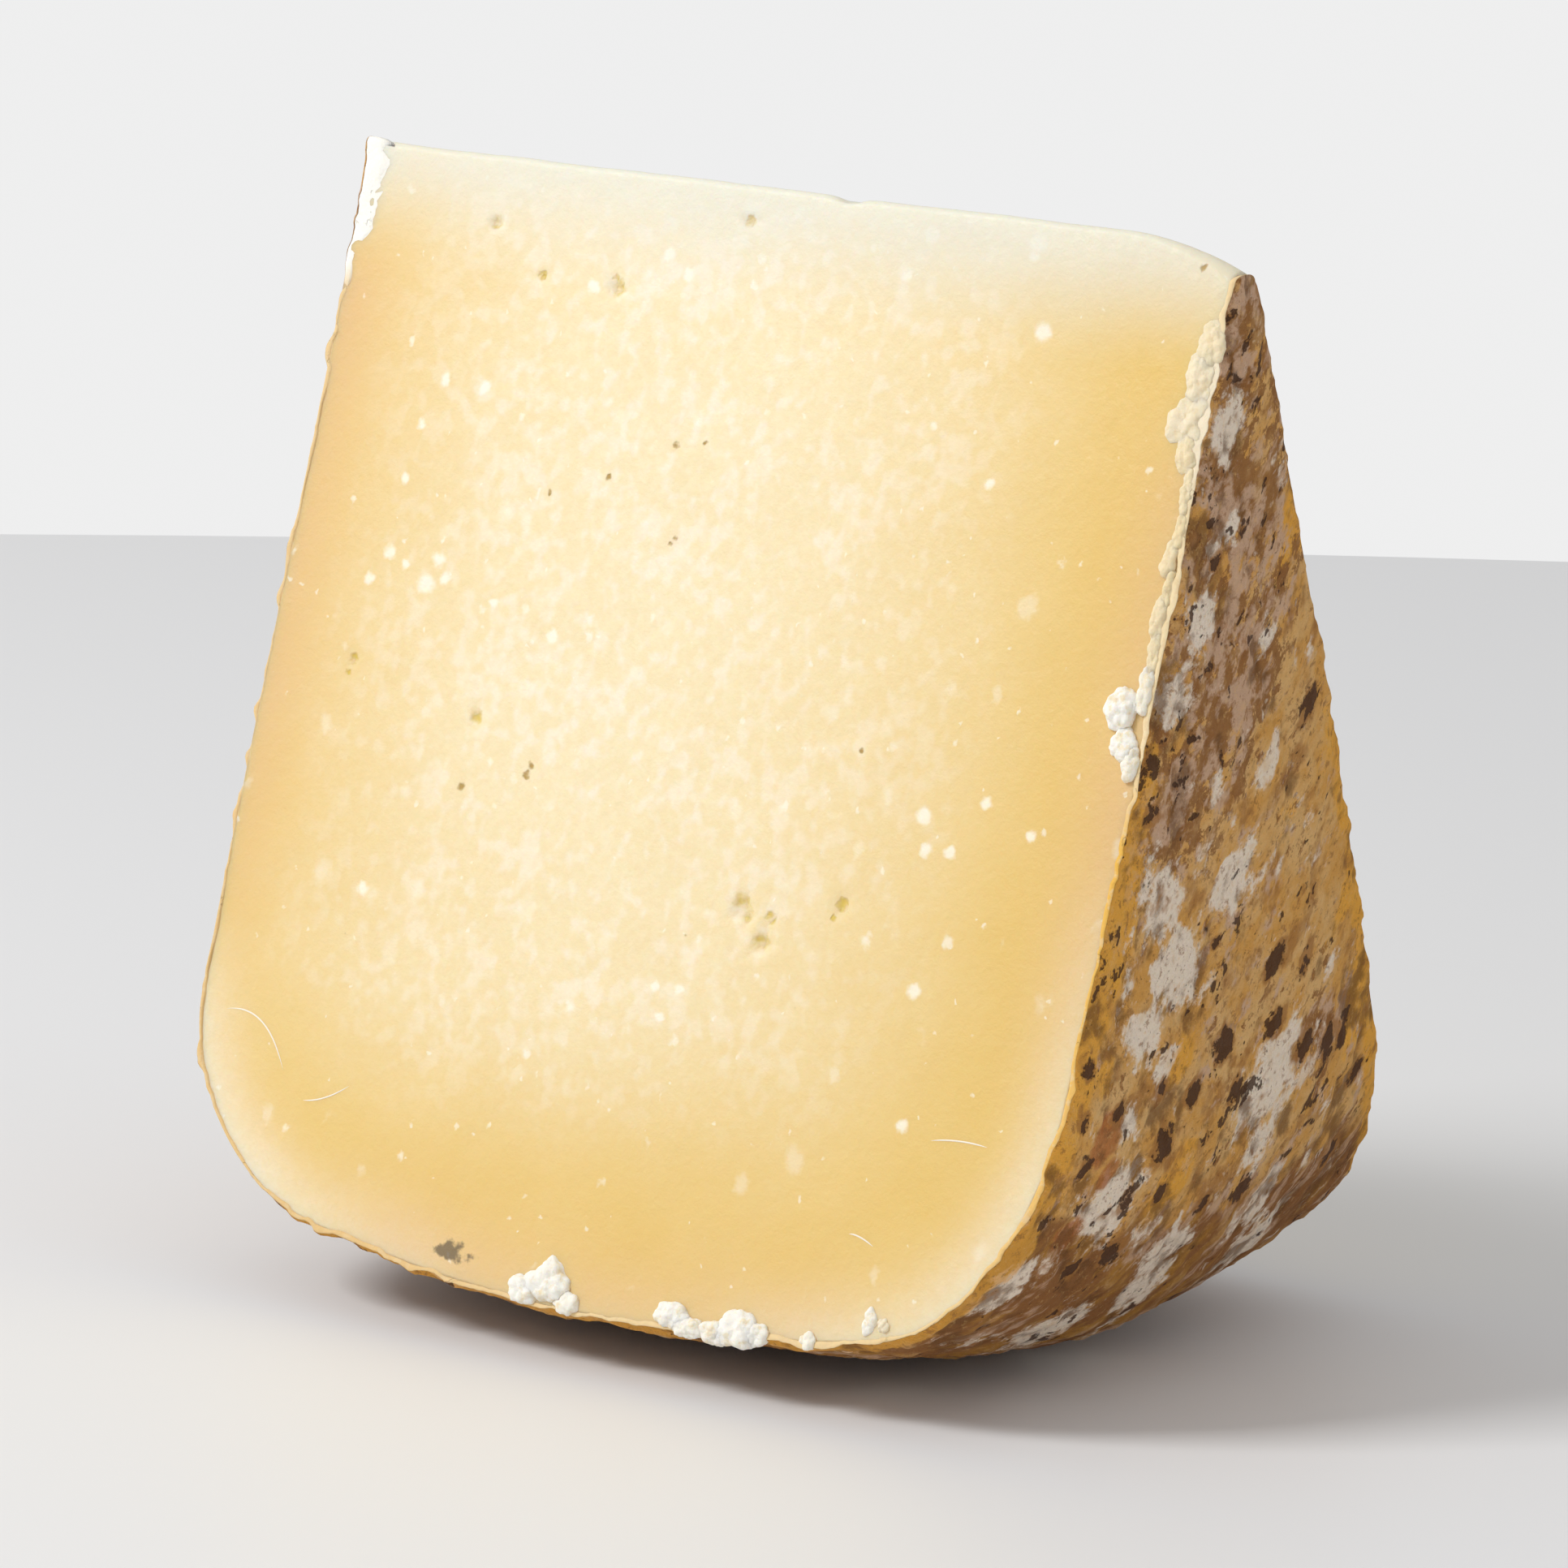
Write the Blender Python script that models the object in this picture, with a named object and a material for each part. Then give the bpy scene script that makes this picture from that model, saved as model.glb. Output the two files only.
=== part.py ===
"""A wedge of aged sheep's-milk cheese in its natural rind, standing on its heel.

The wedge is a slice of a drum-shaped wheel. The wheel's axis lies along X, a little above the
wedge's tip, so each point of the wedge has a place x along the axis, a distance r from the axis
and an angle phi about it. The two cut faces are the planes phi = +HALF_ANGLE (front, -Y) and
phi = -HALF_ANGLE (back, +Y). The flat rinds are at the two ends of the axis and the curved rind,
the heel, is at the bottom. The wedge grew and was cut as one piece, so it is one closed solid.
"""
import math

import bmesh
import bpy
import numpy as np

# The wheel, in metres
WHEEL_RADIUS = 0.1217               # from the axis to the lowest line of the heel
HALF_ANGLE = math.radians(18.1)     # from the wedge's middle plane to each cut face
TIP_HALF_WIDTH = 0.0566             # half the wheel's height, at the axis
HEEL_HALF_WIDTH = 0.0556            # half the wheel's height, at the wheel's radius
LEFT_BULGE = 0.0004                 # how far the left flat rind swells halfway down
RIGHT_BULGE = 0.0017                # the same for the right one
LEFT_LIP = 0.0014                   # how far the left rind flares out at the tip
LIP_REACH = 0.015                   # the distance in which that flare fades

# The heel's outline between the flat rinds
HEEL_CURVE = 2.44                   # drop of the heel per metre squared from its lowest line
HEEL_LOWEST_X = 0.0025              # where that lowest line is
LEFT_CORNER_WIDTH = 0.0217          # along x
LEFT_CORNER_DEPTH = 0.0267          # along r, with the heel's own drop
RIGHT_CORNER_WIDTH = 0.0175
RIGHT_CORNER_DEPTH = 0.0318

# The knife edge at the tip, and the flat where the heel has settled
TIP_ROUND = 0.0008                  # radius of the tip's edge
WORN_TIP_ROUND = 0.0022             # radius at the right rind, where the edge has crumbled
WORN_LENGTH = 0.014                 # how far from the right rind the wear reaches
FOOT_DEPTH = 0.0004                 # how much of the heel is pressed flat

# How finely the surfaces are divided
SIDE_ROWS = 12                      # rows from the tip to the corners
CORNER_ROWS = 22                    # rows round the corners and across the heel
ACROSS = 16                         # columns from the left rind to the right one
AROUND = 14                         # columns from the front cut to the back one
EDGE_STEPS = 4                      # steps round the tip's edge

PASTE_COLOUR = (0.83, 0.68, 0.38, 1.0)
RIND_COLOUR = (0.36, 0.25, 0.16, 1.0)
PASTE_ROUGHNESS = 0.55
RIND_ROUGHNESS = 0.85


def clear_scene():
    """Remove whatever objects the scene holds."""
    for thing in list(bpy.data.objects):
        bpy.data.objects.remove(thing, do_unlink=True)


def flat_half_width(r, bulge, lip):
    """Half the wheel's height at distance r: a taper, a swelling halfway and a flare at the tip."""
    share = r / WHEEL_RADIUS
    taper = TIP_HALF_WIDTH + (HEEL_HALF_WIDTH - TIP_HALF_WIDTH) * share
    return taper + 4 * bulge * share * (1 - share) + lip * np.exp(-r / LIP_REACH)


def left_flat(r):
    """Where the left flat rind is at distance r."""
    return -flat_half_width(r, LEFT_BULGE, LEFT_LIP)


def right_flat(r):
    """Where the right flat rind is at distance r."""
    return flat_half_width(r, RIGHT_BULGE, 0.0)


def heel_distance(x):
    """Distance of the heel's surface from the axis: a shallow crown with an elliptic corner each end."""
    left_end = left_flat(WHEEL_RADIUS - LEFT_CORNER_DEPTH)
    right_end = right_flat(WHEEL_RADIUS - RIGHT_CORNER_DEPTH)
    left_drop = LEFT_CORNER_DEPTH - HEEL_CURVE * (left_end - HEEL_LOWEST_X) ** 2
    right_drop = RIGHT_CORNER_DEPTH - HEEL_CURVE * (right_end - HEEL_LOWEST_X) ** 2
    into_left = np.clip(1 - (x - left_end) / LEFT_CORNER_WIDTH, 0, 1)
    into_right = np.clip(1 - (right_end - x) / RIGHT_CORNER_WIDTH, 0, 1)
    crown = WHEEL_RADIUS - HEEL_CURVE * (x - HEEL_LOWEST_X) ** 2
    left_corner = left_drop * (1 - np.sqrt(1 - into_left ** 2))
    right_corner = right_drop * (1 - np.sqrt(1 - into_right ** 2))
    return crown - left_corner - right_corner


def half_outline(flat, depth):
    """One side's outline from the tip to the heel's lowest line, as places x and distances r."""
    first = TIP_ROUND / math.tan(HALF_ANGLE)
    side_r = np.linspace(first, WHEEL_RADIUS - depth, SIDE_ROWS)
    turn = np.linspace(0, math.pi / 2, CORNER_ROWS + 1)[1:]
    end = flat(side_r[-1])
    heel_x = HEEL_LOWEST_X + (end - HEEL_LOWEST_X) * np.cos(turn)
    return np.append(flat(side_r), heel_x), np.append(side_r, heel_distance(heel_x))


def edge_round(x):
    """Radius of the tip's edge at place x, larger where it has crumbled by the right rind."""
    worn = np.clip(1 - (right_flat(0.0) - x) / WORN_LENGTH, 0, 1)
    return TIP_ROUND + (WORN_TIP_ROUND - TIP_ROUND) * worn ** 2


def place(x, r, phi):
    """Points of the wedge, with the wheel's axis at the height where the pressed foot is z = 0."""
    axis_height = WHEEL_RADIUS - FOOT_DEPTH
    x, r, phi = np.broadcast_arrays(x, r, phi)
    return np.stack([x, -r * np.sin(phi), axis_height - r * np.cos(phi)], axis=-1)


def level_rows():
    """Rows x, r of a cut face, each from the left outline to the right one, closer set at its ends."""
    left_x, left_r = half_outline(left_flat, LEFT_CORNER_DEPTH)
    right_x, right_r = half_outline(right_flat, RIGHT_CORNER_DEPTH)
    share = (1 - np.cos(np.linspace(0, math.pi, ACROSS + 1))) / 2
    rows_x = left_x[:, None] + (right_x - left_x)[:, None] * share
    rows_r = left_r[:, None] + (right_r - left_r)[:, None] * share
    rows_r[0] = edge_round(rows_x[0]) / math.tan(HALF_ANGLE)
    rows_x[-1] = HEEL_LOWEST_X
    return rows_x, rows_r


def edge_rows(x):
    """Points round the tip's edge at each place x: an arc that is tangent to both cut faces."""
    radius = edge_round(x)[:, None]
    axis_height = WHEEL_RADIUS - FOOT_DEPTH
    centre = axis_height - radius / math.sin(HALF_ANGLE)
    reach = math.pi / 2 - HALF_ANGLE
    turn = np.linspace(reach, -reach, EDGE_STEPS + 1)
    return np.stack([
        np.broadcast_to(x[:, None], (len(x), len(turn))),
        -radius * np.sin(turn),
        centre + radius * np.cos(turn),
    ], axis=-1)


def add_grid(mesh, points):
    """Faces between the rows and columns of a grid of points."""
    made = [[mesh.verts.new(point) for point in row] for row in points.tolist()]
    for low, high in zip(made, made[1:]):
        for a, b, c, d in zip(low, low[1:], high[1:], high):
            mesh.faces.new((a, b, c, d))


def add_wedge(mesh):
    """The cut faces, the flat rinds with their half of the heel, the tip's edge and its two ends."""
    rows_x, rows_r = level_rows()
    turn = np.linspace(HALF_ANGLE, -HALF_ANGLE, AROUND + 1)
    add_grid(mesh, place(rows_x, rows_r, HALF_ANGLE))
    add_grid(mesh, place(rows_x, rows_r, -HALF_ANGLE))
    for side in (0, -1):
        add_grid(mesh, place(rows_x[:, side, None], rows_r[:, side, None], turn))
    edge = edge_rows(rows_x[0])
    add_grid(mesh, edge)
    for side in (0, -1):
        rind = place(rows_x[0, side], rows_r[0, side], turn)
        rim = np.concatenate([edge[side], rind[-2:0:-1]])
        mesh.faces.new([mesh.verts.new(point) for point in rim.tolist()])


def press_foot(mesh):
    """Cut off what lies below z = 0 and close the cut with one flat face."""
    everything = mesh.verts[:] + mesh.edges[:] + mesh.faces[:]
    cut = bmesh.ops.bisect_plane(
        mesh, geom=everything, dist=1e-7, plane_co=(0, 0, 0), plane_no=(0, 0, 1), clear_inner=True)
    rim = [part for part in cut["geom_cut"] if isinstance(part, bmesh.types.BMEdge)]
    bmesh.ops.contextual_create(mesh, geom=rim)


def centre_on_x(mesh):
    """Move the wedge so that its two widest points are equally far from x = 0."""
    places = [vert.co.x for vert in mesh.verts]
    middle = (min(places) + max(places)) / 2
    bmesh.ops.translate(mesh, verts=mesh.verts[:], vec=(-middle, 0, 0))


def material(name, colour, roughness):
    """A plain Principled material."""
    made = bpy.data.materials.new(name)
    made.use_nodes = True
    shader = made.node_tree.nodes["Principled BSDF"]
    shader.inputs["Base Color"].default_value = colour
    shader.inputs["Roughness"].default_value = roughness
    shader.inputs["Metallic"].default_value = 0.0
    return made


def build_cheese_wedge():
    """The whole wedge as one closed mesh: cut faces in paste, the rest in rind."""
    mesh = bmesh.new()
    add_wedge(mesh)
    bmesh.ops.remove_doubles(mesh, verts=mesh.verts[:], dist=1e-6)
    bmesh.ops.dissolve_degenerate(mesh, edges=mesh.edges[:], dist=1e-6)
    bmesh.ops.recalc_face_normals(mesh, faces=mesh.faces[:])
    press_foot(mesh)
    bmesh.ops.recalc_face_normals(mesh, faces=mesh.faces[:])
    centre_on_x(mesh)
    for face in mesh.faces:
        in_cut = abs(abs(face.normal.y) - math.cos(HALF_ANGLE)) < 1e-3
        face.material_index = 0 if in_cut or face.normal.z > 0.3 else 1
    data = bpy.data.meshes.new("cheese_wedge")
    mesh.to_mesh(data)
    mesh.free()
    data.materials.append(material("paste", PASTE_COLOUR, PASTE_ROUGHNESS))
    data.materials.append(material("rind", RIND_COLOUR, RIND_ROUGHNESS))
    data.shade_smooth()
    data.set_sharp_from_angle(angle=math.radians(30))
    wedge = bpy.data.objects.new("cheese_wedge", data)
    bpy.context.scene.collection.objects.link(wedge)
    return wedge


clear_scene()
build_cheese_wedge()
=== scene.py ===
# %% [markdown]
# # A wedge of natural-rind cheese
#
# The object is a slice of a drum-shaped wheel of aged sheep's-milk cheese. It stands on its heel, the
# wheel's curved side, with the tip, where the wheel's axis was, on top. Its real-size solid is already
# modelled. This lesson gives it the looks: the pale grainy paste of the cut faces, the rough mottled
# rind, the crumbly rim between them, white mould and the small white crystals of a long ripening.
#
# The first step loads that solid. It stays where it is, and everything here is made around it.

# %% Load the frame
import math

import bpy
import numpy as np
from mathutils import Matrix, Vector


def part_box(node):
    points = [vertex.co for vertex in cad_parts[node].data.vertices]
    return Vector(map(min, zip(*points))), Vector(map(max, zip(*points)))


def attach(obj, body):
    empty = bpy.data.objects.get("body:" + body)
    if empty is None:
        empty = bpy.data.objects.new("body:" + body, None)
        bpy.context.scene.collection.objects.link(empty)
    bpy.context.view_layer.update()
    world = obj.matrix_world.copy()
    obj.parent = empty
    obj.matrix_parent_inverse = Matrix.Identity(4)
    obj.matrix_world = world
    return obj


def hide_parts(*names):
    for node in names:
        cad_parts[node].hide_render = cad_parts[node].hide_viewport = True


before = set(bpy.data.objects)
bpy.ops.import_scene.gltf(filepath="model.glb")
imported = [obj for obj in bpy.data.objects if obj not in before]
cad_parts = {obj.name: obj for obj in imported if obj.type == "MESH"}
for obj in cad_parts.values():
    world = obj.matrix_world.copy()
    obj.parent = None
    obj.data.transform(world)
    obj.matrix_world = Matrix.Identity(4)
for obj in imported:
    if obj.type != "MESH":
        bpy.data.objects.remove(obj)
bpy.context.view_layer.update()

low_corner, high_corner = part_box("cheese_wedge")
print("the solid reaches from", low_corner, "to", high_corner)

# %% [markdown]
# ## Places on a slice of a wheel
#
# Every point of the wedge has a place x along the wheel's axis, a distance r from the axis and an
# angle phi about it. The two knife cuts are the planes phi = plus and minus HALF_ANGLE. Working
# in x, r and phi makes the heel round and the cuts flat by themselves. Lengths are in metres, and
# `MM` turns millimetres into metres.

# %% The wheel
MM = 0.001
WHEEL_RADIUS = 121.7 * MM
TIP_ROUND = 0.8 * MM
HALF_ANGLE = math.asin(high_corner[1] / WHEEL_RADIUS)
AXIS_HEIGHT = high_corner[2] + TIP_ROUND * (1 / math.sin(HALF_ANGLE) - 1)
print("half angle", round(math.degrees(HALF_ANGLE), 2), "axis height", round(AXIS_HEIGHT, 5))


def place(x, r, phi):
    """The point at x along the axis, r below it, turned by phi towards the front cut."""
    x, r, phi = np.broadcast_arrays(x, r, phi)
    return np.stack([x, -r * np.sin(phi), AXIS_HEIGHT - r * np.cos(phi)], axis=-1)


def cut_normal(side):
    """The direction square to a cut, out of the cheese: the front's for 1, the back's for -1."""
    return np.array([0, -side * math.cos(HALF_ANGLE), math.sin(HALF_ANGLE)])


# %% [markdown]
# ## The outline of a cut
#
# A knife through the wheel shows its outline: down one flat rind, round a soft corner, across the
# slightly crowned heel, and up the other flat rind. The corners are quarter ellipses that sink
# below the crown. The same outline shapes the paste and the rind, so it is one function. It is
# measured along its own length, because a length is what the later steps share out evenly.

# %% The outline
TIP_HALF_WIDTH = 56.6 * MM
HEEL_HALF_WIDTH = 55.6 * MM
LEFT_BULGE = 0.4 * MM
RIGHT_BULGE = 1.7 * MM
LEFT_LIP = 1.4 * MM
LIP_REACH = 15 * MM
HEEL_CURVE = 2.44
HEEL_LOWEST_X = 2.5 * MM
LEFT_CORNER = (21.7 * MM, 26.7 * MM)
RIGHT_CORNER = (17.5 * MM, 31.8 * MM)


def flat_half_width(r, bulge, lip):
    """Half the wheel's height at distance r: a taper, a swelling halfway and a flare at the tip."""
    share = r / WHEEL_RADIUS
    taper = TIP_HALF_WIDTH + (HEEL_HALF_WIDTH - TIP_HALF_WIDTH) * share
    return taper + 4 * bulge * share * (1 - share) + lip * np.exp(-r / LIP_REACH)


def left_flat(r):
    """Where the left flat rind is at distance r."""
    return -flat_half_width(r, LEFT_BULGE, LEFT_LIP)


def right_flat(r):
    """Where the right flat rind is at distance r."""
    return flat_half_width(r, RIGHT_BULGE, 0.0)


def crown_drop(x):
    """How far the heel's crown has dropped at x: a parabola."""
    return HEEL_CURVE * (x - HEEL_LOWEST_X) ** 2


def corner_drop(x, end, corner):
    """How far a corner lies below the crown: a quarter ellipse that starts its width from the end."""
    inside = np.clip(1 - np.abs(x - end) / corner[0], 0, 1)
    return (corner[1] - crown_drop(end)) * (1 - np.sqrt(1 - inside ** 2))


def heel_distance(x):
    """The heel's distance from the axis: the wheel's radius less the crown's and the corners' drops."""
    left_end = left_flat(WHEEL_RADIUS - LEFT_CORNER[1])
    right_end = right_flat(WHEEL_RADIUS - RIGHT_CORNER[1])
    corners = corner_drop(x, left_end, LEFT_CORNER) + corner_drop(x, right_end, RIGHT_CORNER)
    return WHEEL_RADIUS - crown_drop(x) - corners


FIRST_R = TIP_ROUND / math.tan(HALF_ANGLE)
SIDE_SAMPLES = 600
HEEL_SAMPLES = 1800
left_r = np.linspace(FIRST_R, WHEEL_RADIUS - LEFT_CORNER[1], SIDE_SAMPLES)
right_r = np.linspace(WHEEL_RADIUS - RIGHT_CORNER[1], FIRST_R, SIDE_SAMPLES)
half_turn = np.cos(np.linspace(math.pi, 0, HEEL_SAMPLES + 2)[1:-1])
heel_ends = left_flat(left_r[-1]), right_flat(right_r[0])
heel_x = (heel_ends[0] + heel_ends[1]) / 2 + (heel_ends[1] - heel_ends[0]) / 2 * half_turn
outline_x = np.concatenate([left_flat(left_r), heel_x, right_flat(right_r)])
outline_r = np.concatenate([left_r, heel_distance(heel_x), right_r])
steps = np.hypot(np.diff(outline_x), np.diff(outline_r))
outline_s = np.append(0, np.cumsum(steps))
OUTLINE_LENGTH = outline_s[-1]


def outline(s, depth=0.0):
    """x and r at length s along the outline, moved inwards by depth along its normal."""
    tangent_x = np.gradient(outline_x, outline_s)
    tangent_r = np.gradient(outline_r, outline_s)
    x = np.interp(s, outline_s, outline_x) + depth * np.interp(s, outline_s, tangent_r)
    r = np.interp(s, outline_s, outline_r) - depth * np.interp(s, outline_s, tangent_x)
    return x, r


LEFT_TURN = outline_s[np.argmax(outline_r - outline_x)]
RIGHT_TURN = outline_s[np.argmax(outline_r + outline_x)]
print("outline", round(OUTLINE_LENGTH / MM), "mm, corners at",
      round(LEFT_TURN / MM), "and", round(RIGHT_TURN / MM))

# %% [markdown]
# ## Roughness that can be repeated
#
# Nothing on a cheese is smooth, so most surfaces here get a little noise: random numbers on a
# cubic lattice, eased from corner to corner. The lattice comes from one seed, so every run gives
# the same cheese. `lumps` is the other kind: the distance to the nearest of many scattered
# points, which makes round grains and crumbs instead of waves.

# %% Noise and lumps
LATTICE_SIDE = 32
lattice = np.random.default_rng(11).uniform(-1, 1, (LATTICE_SIDE,) * 3)
scatter = np.random.default_rng(12).uniform(0, 1, (LATTICE_SIDE,) * 3 + (3,))


def noise(points, size, shift=0.0):
    """Random values on a lattice `size` apart, eased by 3t^2 - 2t^3 between its corners."""
    scaled = points / size + shift
    cell = np.floor(scaled).astype(int)
    part = scaled - cell
    part = part * part * (3 - 2 * part)
    total = np.zeros(points.shape[:-1])
    for corner in np.ndindex(2, 2, 2):
        weight = np.where(corner, part, 1 - part).prod(axis=-1)
        at = (cell + corner) % LATTICE_SIDE
        total += weight * lattice[at[..., 0], at[..., 1], at[..., 2]]
    return total


def rough(points, size, octaves=3, shift=0.0):
    """A sum of noises, each half the size and 0.55 times the strength of the one before."""
    return sum(0.55 ** k * noise(points, size / 2 ** k, shift + 5.3 * k) for k in range(octaves))


def lumps(points, size, shift=0.0):
    """Distance, in units of `size`, to the nearest of the points scattered one to a cell."""
    scaled = points / size + shift
    cell = np.floor(scaled).astype(int)
    nearest = np.full(points.shape[:-1], 9.0)
    for step in np.ndindex(3, 3, 3):
        at = cell + step - 1
        wrapped = at % LATTICE_SIDE
        seed = at + scatter[wrapped[..., 0], wrapped[..., 1], wrapped[..., 2]]
        nearest = np.minimum(nearest, np.linalg.norm(scaled - seed, axis=-1))
    return nearest


def ease(value, start, end):
    """0 before start, 1 after end, and 3t^2 - 2t^3 in between."""
    t = np.clip((value - start) / (end - start), 0, 1)
    return t * t * (3 - 2 * t)


# %% [markdown]
# ## From grids to one closed mesh
#
# A piece is made of a few grids of points that share their borders. `weld` gives all points at the same
# place one number, so the borders close. A face that loses one corner there becomes a triangle, and one
# that loses more is dropped. A grid's faces can be listed in reverse, so that they point outwards.

# %% Grid and mesh helpers
def grid_faces(rows, columns, first, flip=False, closed=False):
    """Corner numbers of the faces between a grid's rows and columns: row * columns + column."""
    i, j = np.meshgrid(np.arange(rows - 1), np.arange(columns - (not closed)), indexing="ij")
    k = (j + 1) % columns
    quads = np.stack([i * columns + j, i * columns + k, (i + 1) * columns + k,
                      (i + 1) * columns + j], axis=-1).reshape(-1, 4) + first
    return quads[:, ::-1] if flip else quads


def weld(points, quads, grain=1e-7):
    """Merge points that lie within a grain of each other, and renumber the faces' corners to match."""
    keys = np.round(points / grain).astype(np.int64)
    kept, number = np.unique(keys, axis=0, return_index=True, return_inverse=True)[1:]
    quads = number.reshape(-1)[quads]
    return points[kept], quads, kept


def add_object(name, data):
    """An object at the origin that shows a mesh, a lamp or a camera."""
    made = bpy.data.objects.new(name, data)
    bpy.context.scene.collection.objects.link(made)
    return made


def make_piece(name, points, quads, fields=None):
    """A smooth mesh object from points and four-cornered faces, with named point attributes."""
    points, quads, kept = weld(points, quads)
    same = quads == np.roll(quads, -1, axis=1)
    lost = same.sum(axis=1)
    whole = quads[lost == 0]
    triangles = quads[lost == 1][~same[lost == 1]].reshape(-1, 3)
    mesh = bpy.data.meshes.new(name)
    mesh.from_pydata(points.tolist(), [], whole.tolist() + triangles.tolist())
    for key, values in (fields or {}).items():
        kind, slot = ("FLOAT_VECTOR", "vector") if values.ndim == 2 else ("FLOAT", "value")
        layer = mesh.attributes.new(key, kind, "POINT")
        layer.data.foreach_set(slot, np.ascontiguousarray(values[kept], dtype=np.float32).reshape(-1))
    mesh.shade_smooth()
    print(name, len(points), "points", 2 * len(whole) + len(triangles), "triangles")
    return add_object(name, mesh)


# %% [markdown]
# ## The paste
#
# The paste is the cheese itself. Each cut face is a Coons patch: a grid that takes its four edges
# from the tip, the two flat rinds and the heel, and blends them across. Its rows and columns are
# set closer near the edges, where more happens. A knife leaves such a face almost flat: it swells
# and sinks by a tenth of a millimetre, has a fine grain, and opens into a few small eyes.

# %% Eyes and edge wear of the paste
PASTE_DEPTH = 0.6 * MM
EYES = [(12.2, 76.2, 1.0), (13.0, 77.2, 0.9), (16.2, 77.3, 0.7), (15.6, 79.8, 1.0), (24.7, 74.6, 0.7),
        (24.0, 76.2, 0.4), (-37.7, 9.0, 0.7), (-30.1, 14.1, 0.5), (-19.8, 14.4, 0.9),
        (-20.4, 13.4, 0.5), (-4.5, 5.6, 0.7), (-26.8, 61.8, 0.8), (-44.6, 57.6, 0.6),
        (-44.9, 59.2, 0.4)]
PITS = [(-18.3, 66.0, 0.45), (-18.6, 66.9, 0.4), (-26.8, 69.2, 0.45), (-16.1, 34.4, 0.38),
        (-5.8, 39.9, 0.35), (-6.2, 40.6, 0.3), (23.3, 58.6, 0.35), (-8.0, 30.2, 0.4),
        (-4.3, 29.3, 0.3), (5.9, 80.6, 0.3), (-23.1, 36.9, 0.3), (52.6, 4.6, 0.4)]
WORN_TIP_ROUND = 2.2 * MM
WORN_LENGTH = 14 * MM


def edge_round(x):
    """Radius of the tip's edge, larger where it has crumbled by the right rind."""
    worn = np.clip(1 - (right_flat(0.0) - x) / WORN_LENGTH, 0, 1)
    return TIP_ROUND + (WORN_TIP_ROUND - TIP_ROUND) * worn ** 2


def on_cut(marks, side):
    """Places and sizes of marks listed as x, r and radius. The back has the front's, turned about."""
    x, r, size = np.array(marks).T * MM
    return place(side * x, r, side * HALF_ANGLE), size


def eye_dent(points, side):
    """How deep the eyes are at each point: a smooth bowl, nearly as deep as its radius."""
    centres, sizes = on_cut(EYES + PITS, side)
    apart = np.linalg.norm(points[..., None, :] - centres, axis=-1)
    apart = apart * (1 + 0.5 * noise(points, 0.9 * MM, 3.7))[..., None]
    return (0.9 * sizes * np.clip(1 - (apart / (1.15 * sizes)) ** 2, 0, 1)).max(axis=-1)


def face_relief(points, side):
    """Height of a cut face over its plane: broad swells, a fine grain, and the eyes."""
    swell = 0.16 * MM * rough(points, 26 * MM, 2) + 0.05 * MM * noise(points, 5 * MM)
    grain = 0.028 * MM * noise(points, 1.7 * MM, 1.9)
    return swell + grain - eye_dent(points, side)


# %% The cut face as a Coons patch
FACE_COLUMNS = 190
FACE_ROWS = 180
BAND_STEPS = 12
CLOSENESS = 0.42


def spread(count):
    """Shares from 0 to 1, closer set near both ends: t less a sine of one full turn."""
    t = np.linspace(0, 1, count + 1)
    return t - CLOSENESS * np.sin(2 * math.pi * t) / (2 * math.pi)


def cut_face_plan():
    """The grid x, r of a cut: (1-v) top + v heel + (1-u) left + u right, less the corners' blend."""
    u, v = spread(FACE_COLUMNS), spread(FACE_ROWS)
    worn = (edge_round(right_flat(0.0)) - TIP_ROUND) / math.tan(HALF_ANGLE)
    right_top = OUTLINE_LENGTH - worn
    left = np.stack(outline(LEFT_TURN * v, PASTE_DEPTH))
    right = np.stack(outline(right_top + (RIGHT_TURN - right_top) * v, PASTE_DEPTH))
    heel = np.stack(outline(LEFT_TURN + (RIGHT_TURN - LEFT_TURN) * u, PASTE_DEPTH))
    top_x = left[0, 0] + (right[0, 0] - left[0, 0]) * u
    top = np.stack([top_x, edge_round(top_x) / math.tan(HALF_ANGLE)])
    left[1, 0], right[1, 0] = top[1, 0], top[1, -1]
    v = v[:, None]
    first, last = left[:, :, None], right[:, :, None]
    corners = (1 - v) * ((1 - u) * first[:, :1] + u * last[:, :1]) \
        + v * ((1 - u) * first[:, -1:] + u * last[:, -1:])
    return (1 - v) * top[:, None] + v * heel[:, None] + (1 - u) * first + u * last - corners


plan_x, plan_r = cut_face_plan()


def cut_face(side):
    """One cut face as points: the plan laid in its plane and raised by its relief."""
    flat = place(plan_x, plan_r, side * HALF_ANGLE)
    relief = face_relief(flat, side) * ease(plan_r - plan_r[0], 0, 3 * MM)
    return flat + cut_normal(side) * relief[..., None]


front_face, back_face = cut_face(1), cut_face(-1)
print("cut face grid", front_face.shape)

# %% [markdown]
# ## The tip and the sides of the paste
#
# A band joins the two cut faces all the way round. Along the tip it is the knife's edge, an arc
# that touches both cuts, with a nick and a few crumbs lost. Elsewhere it lies under the rind.

# %% The band between the cuts
NICK = (7.4 * MM, 1.5 * MM, 0.7 * MM)


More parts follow.
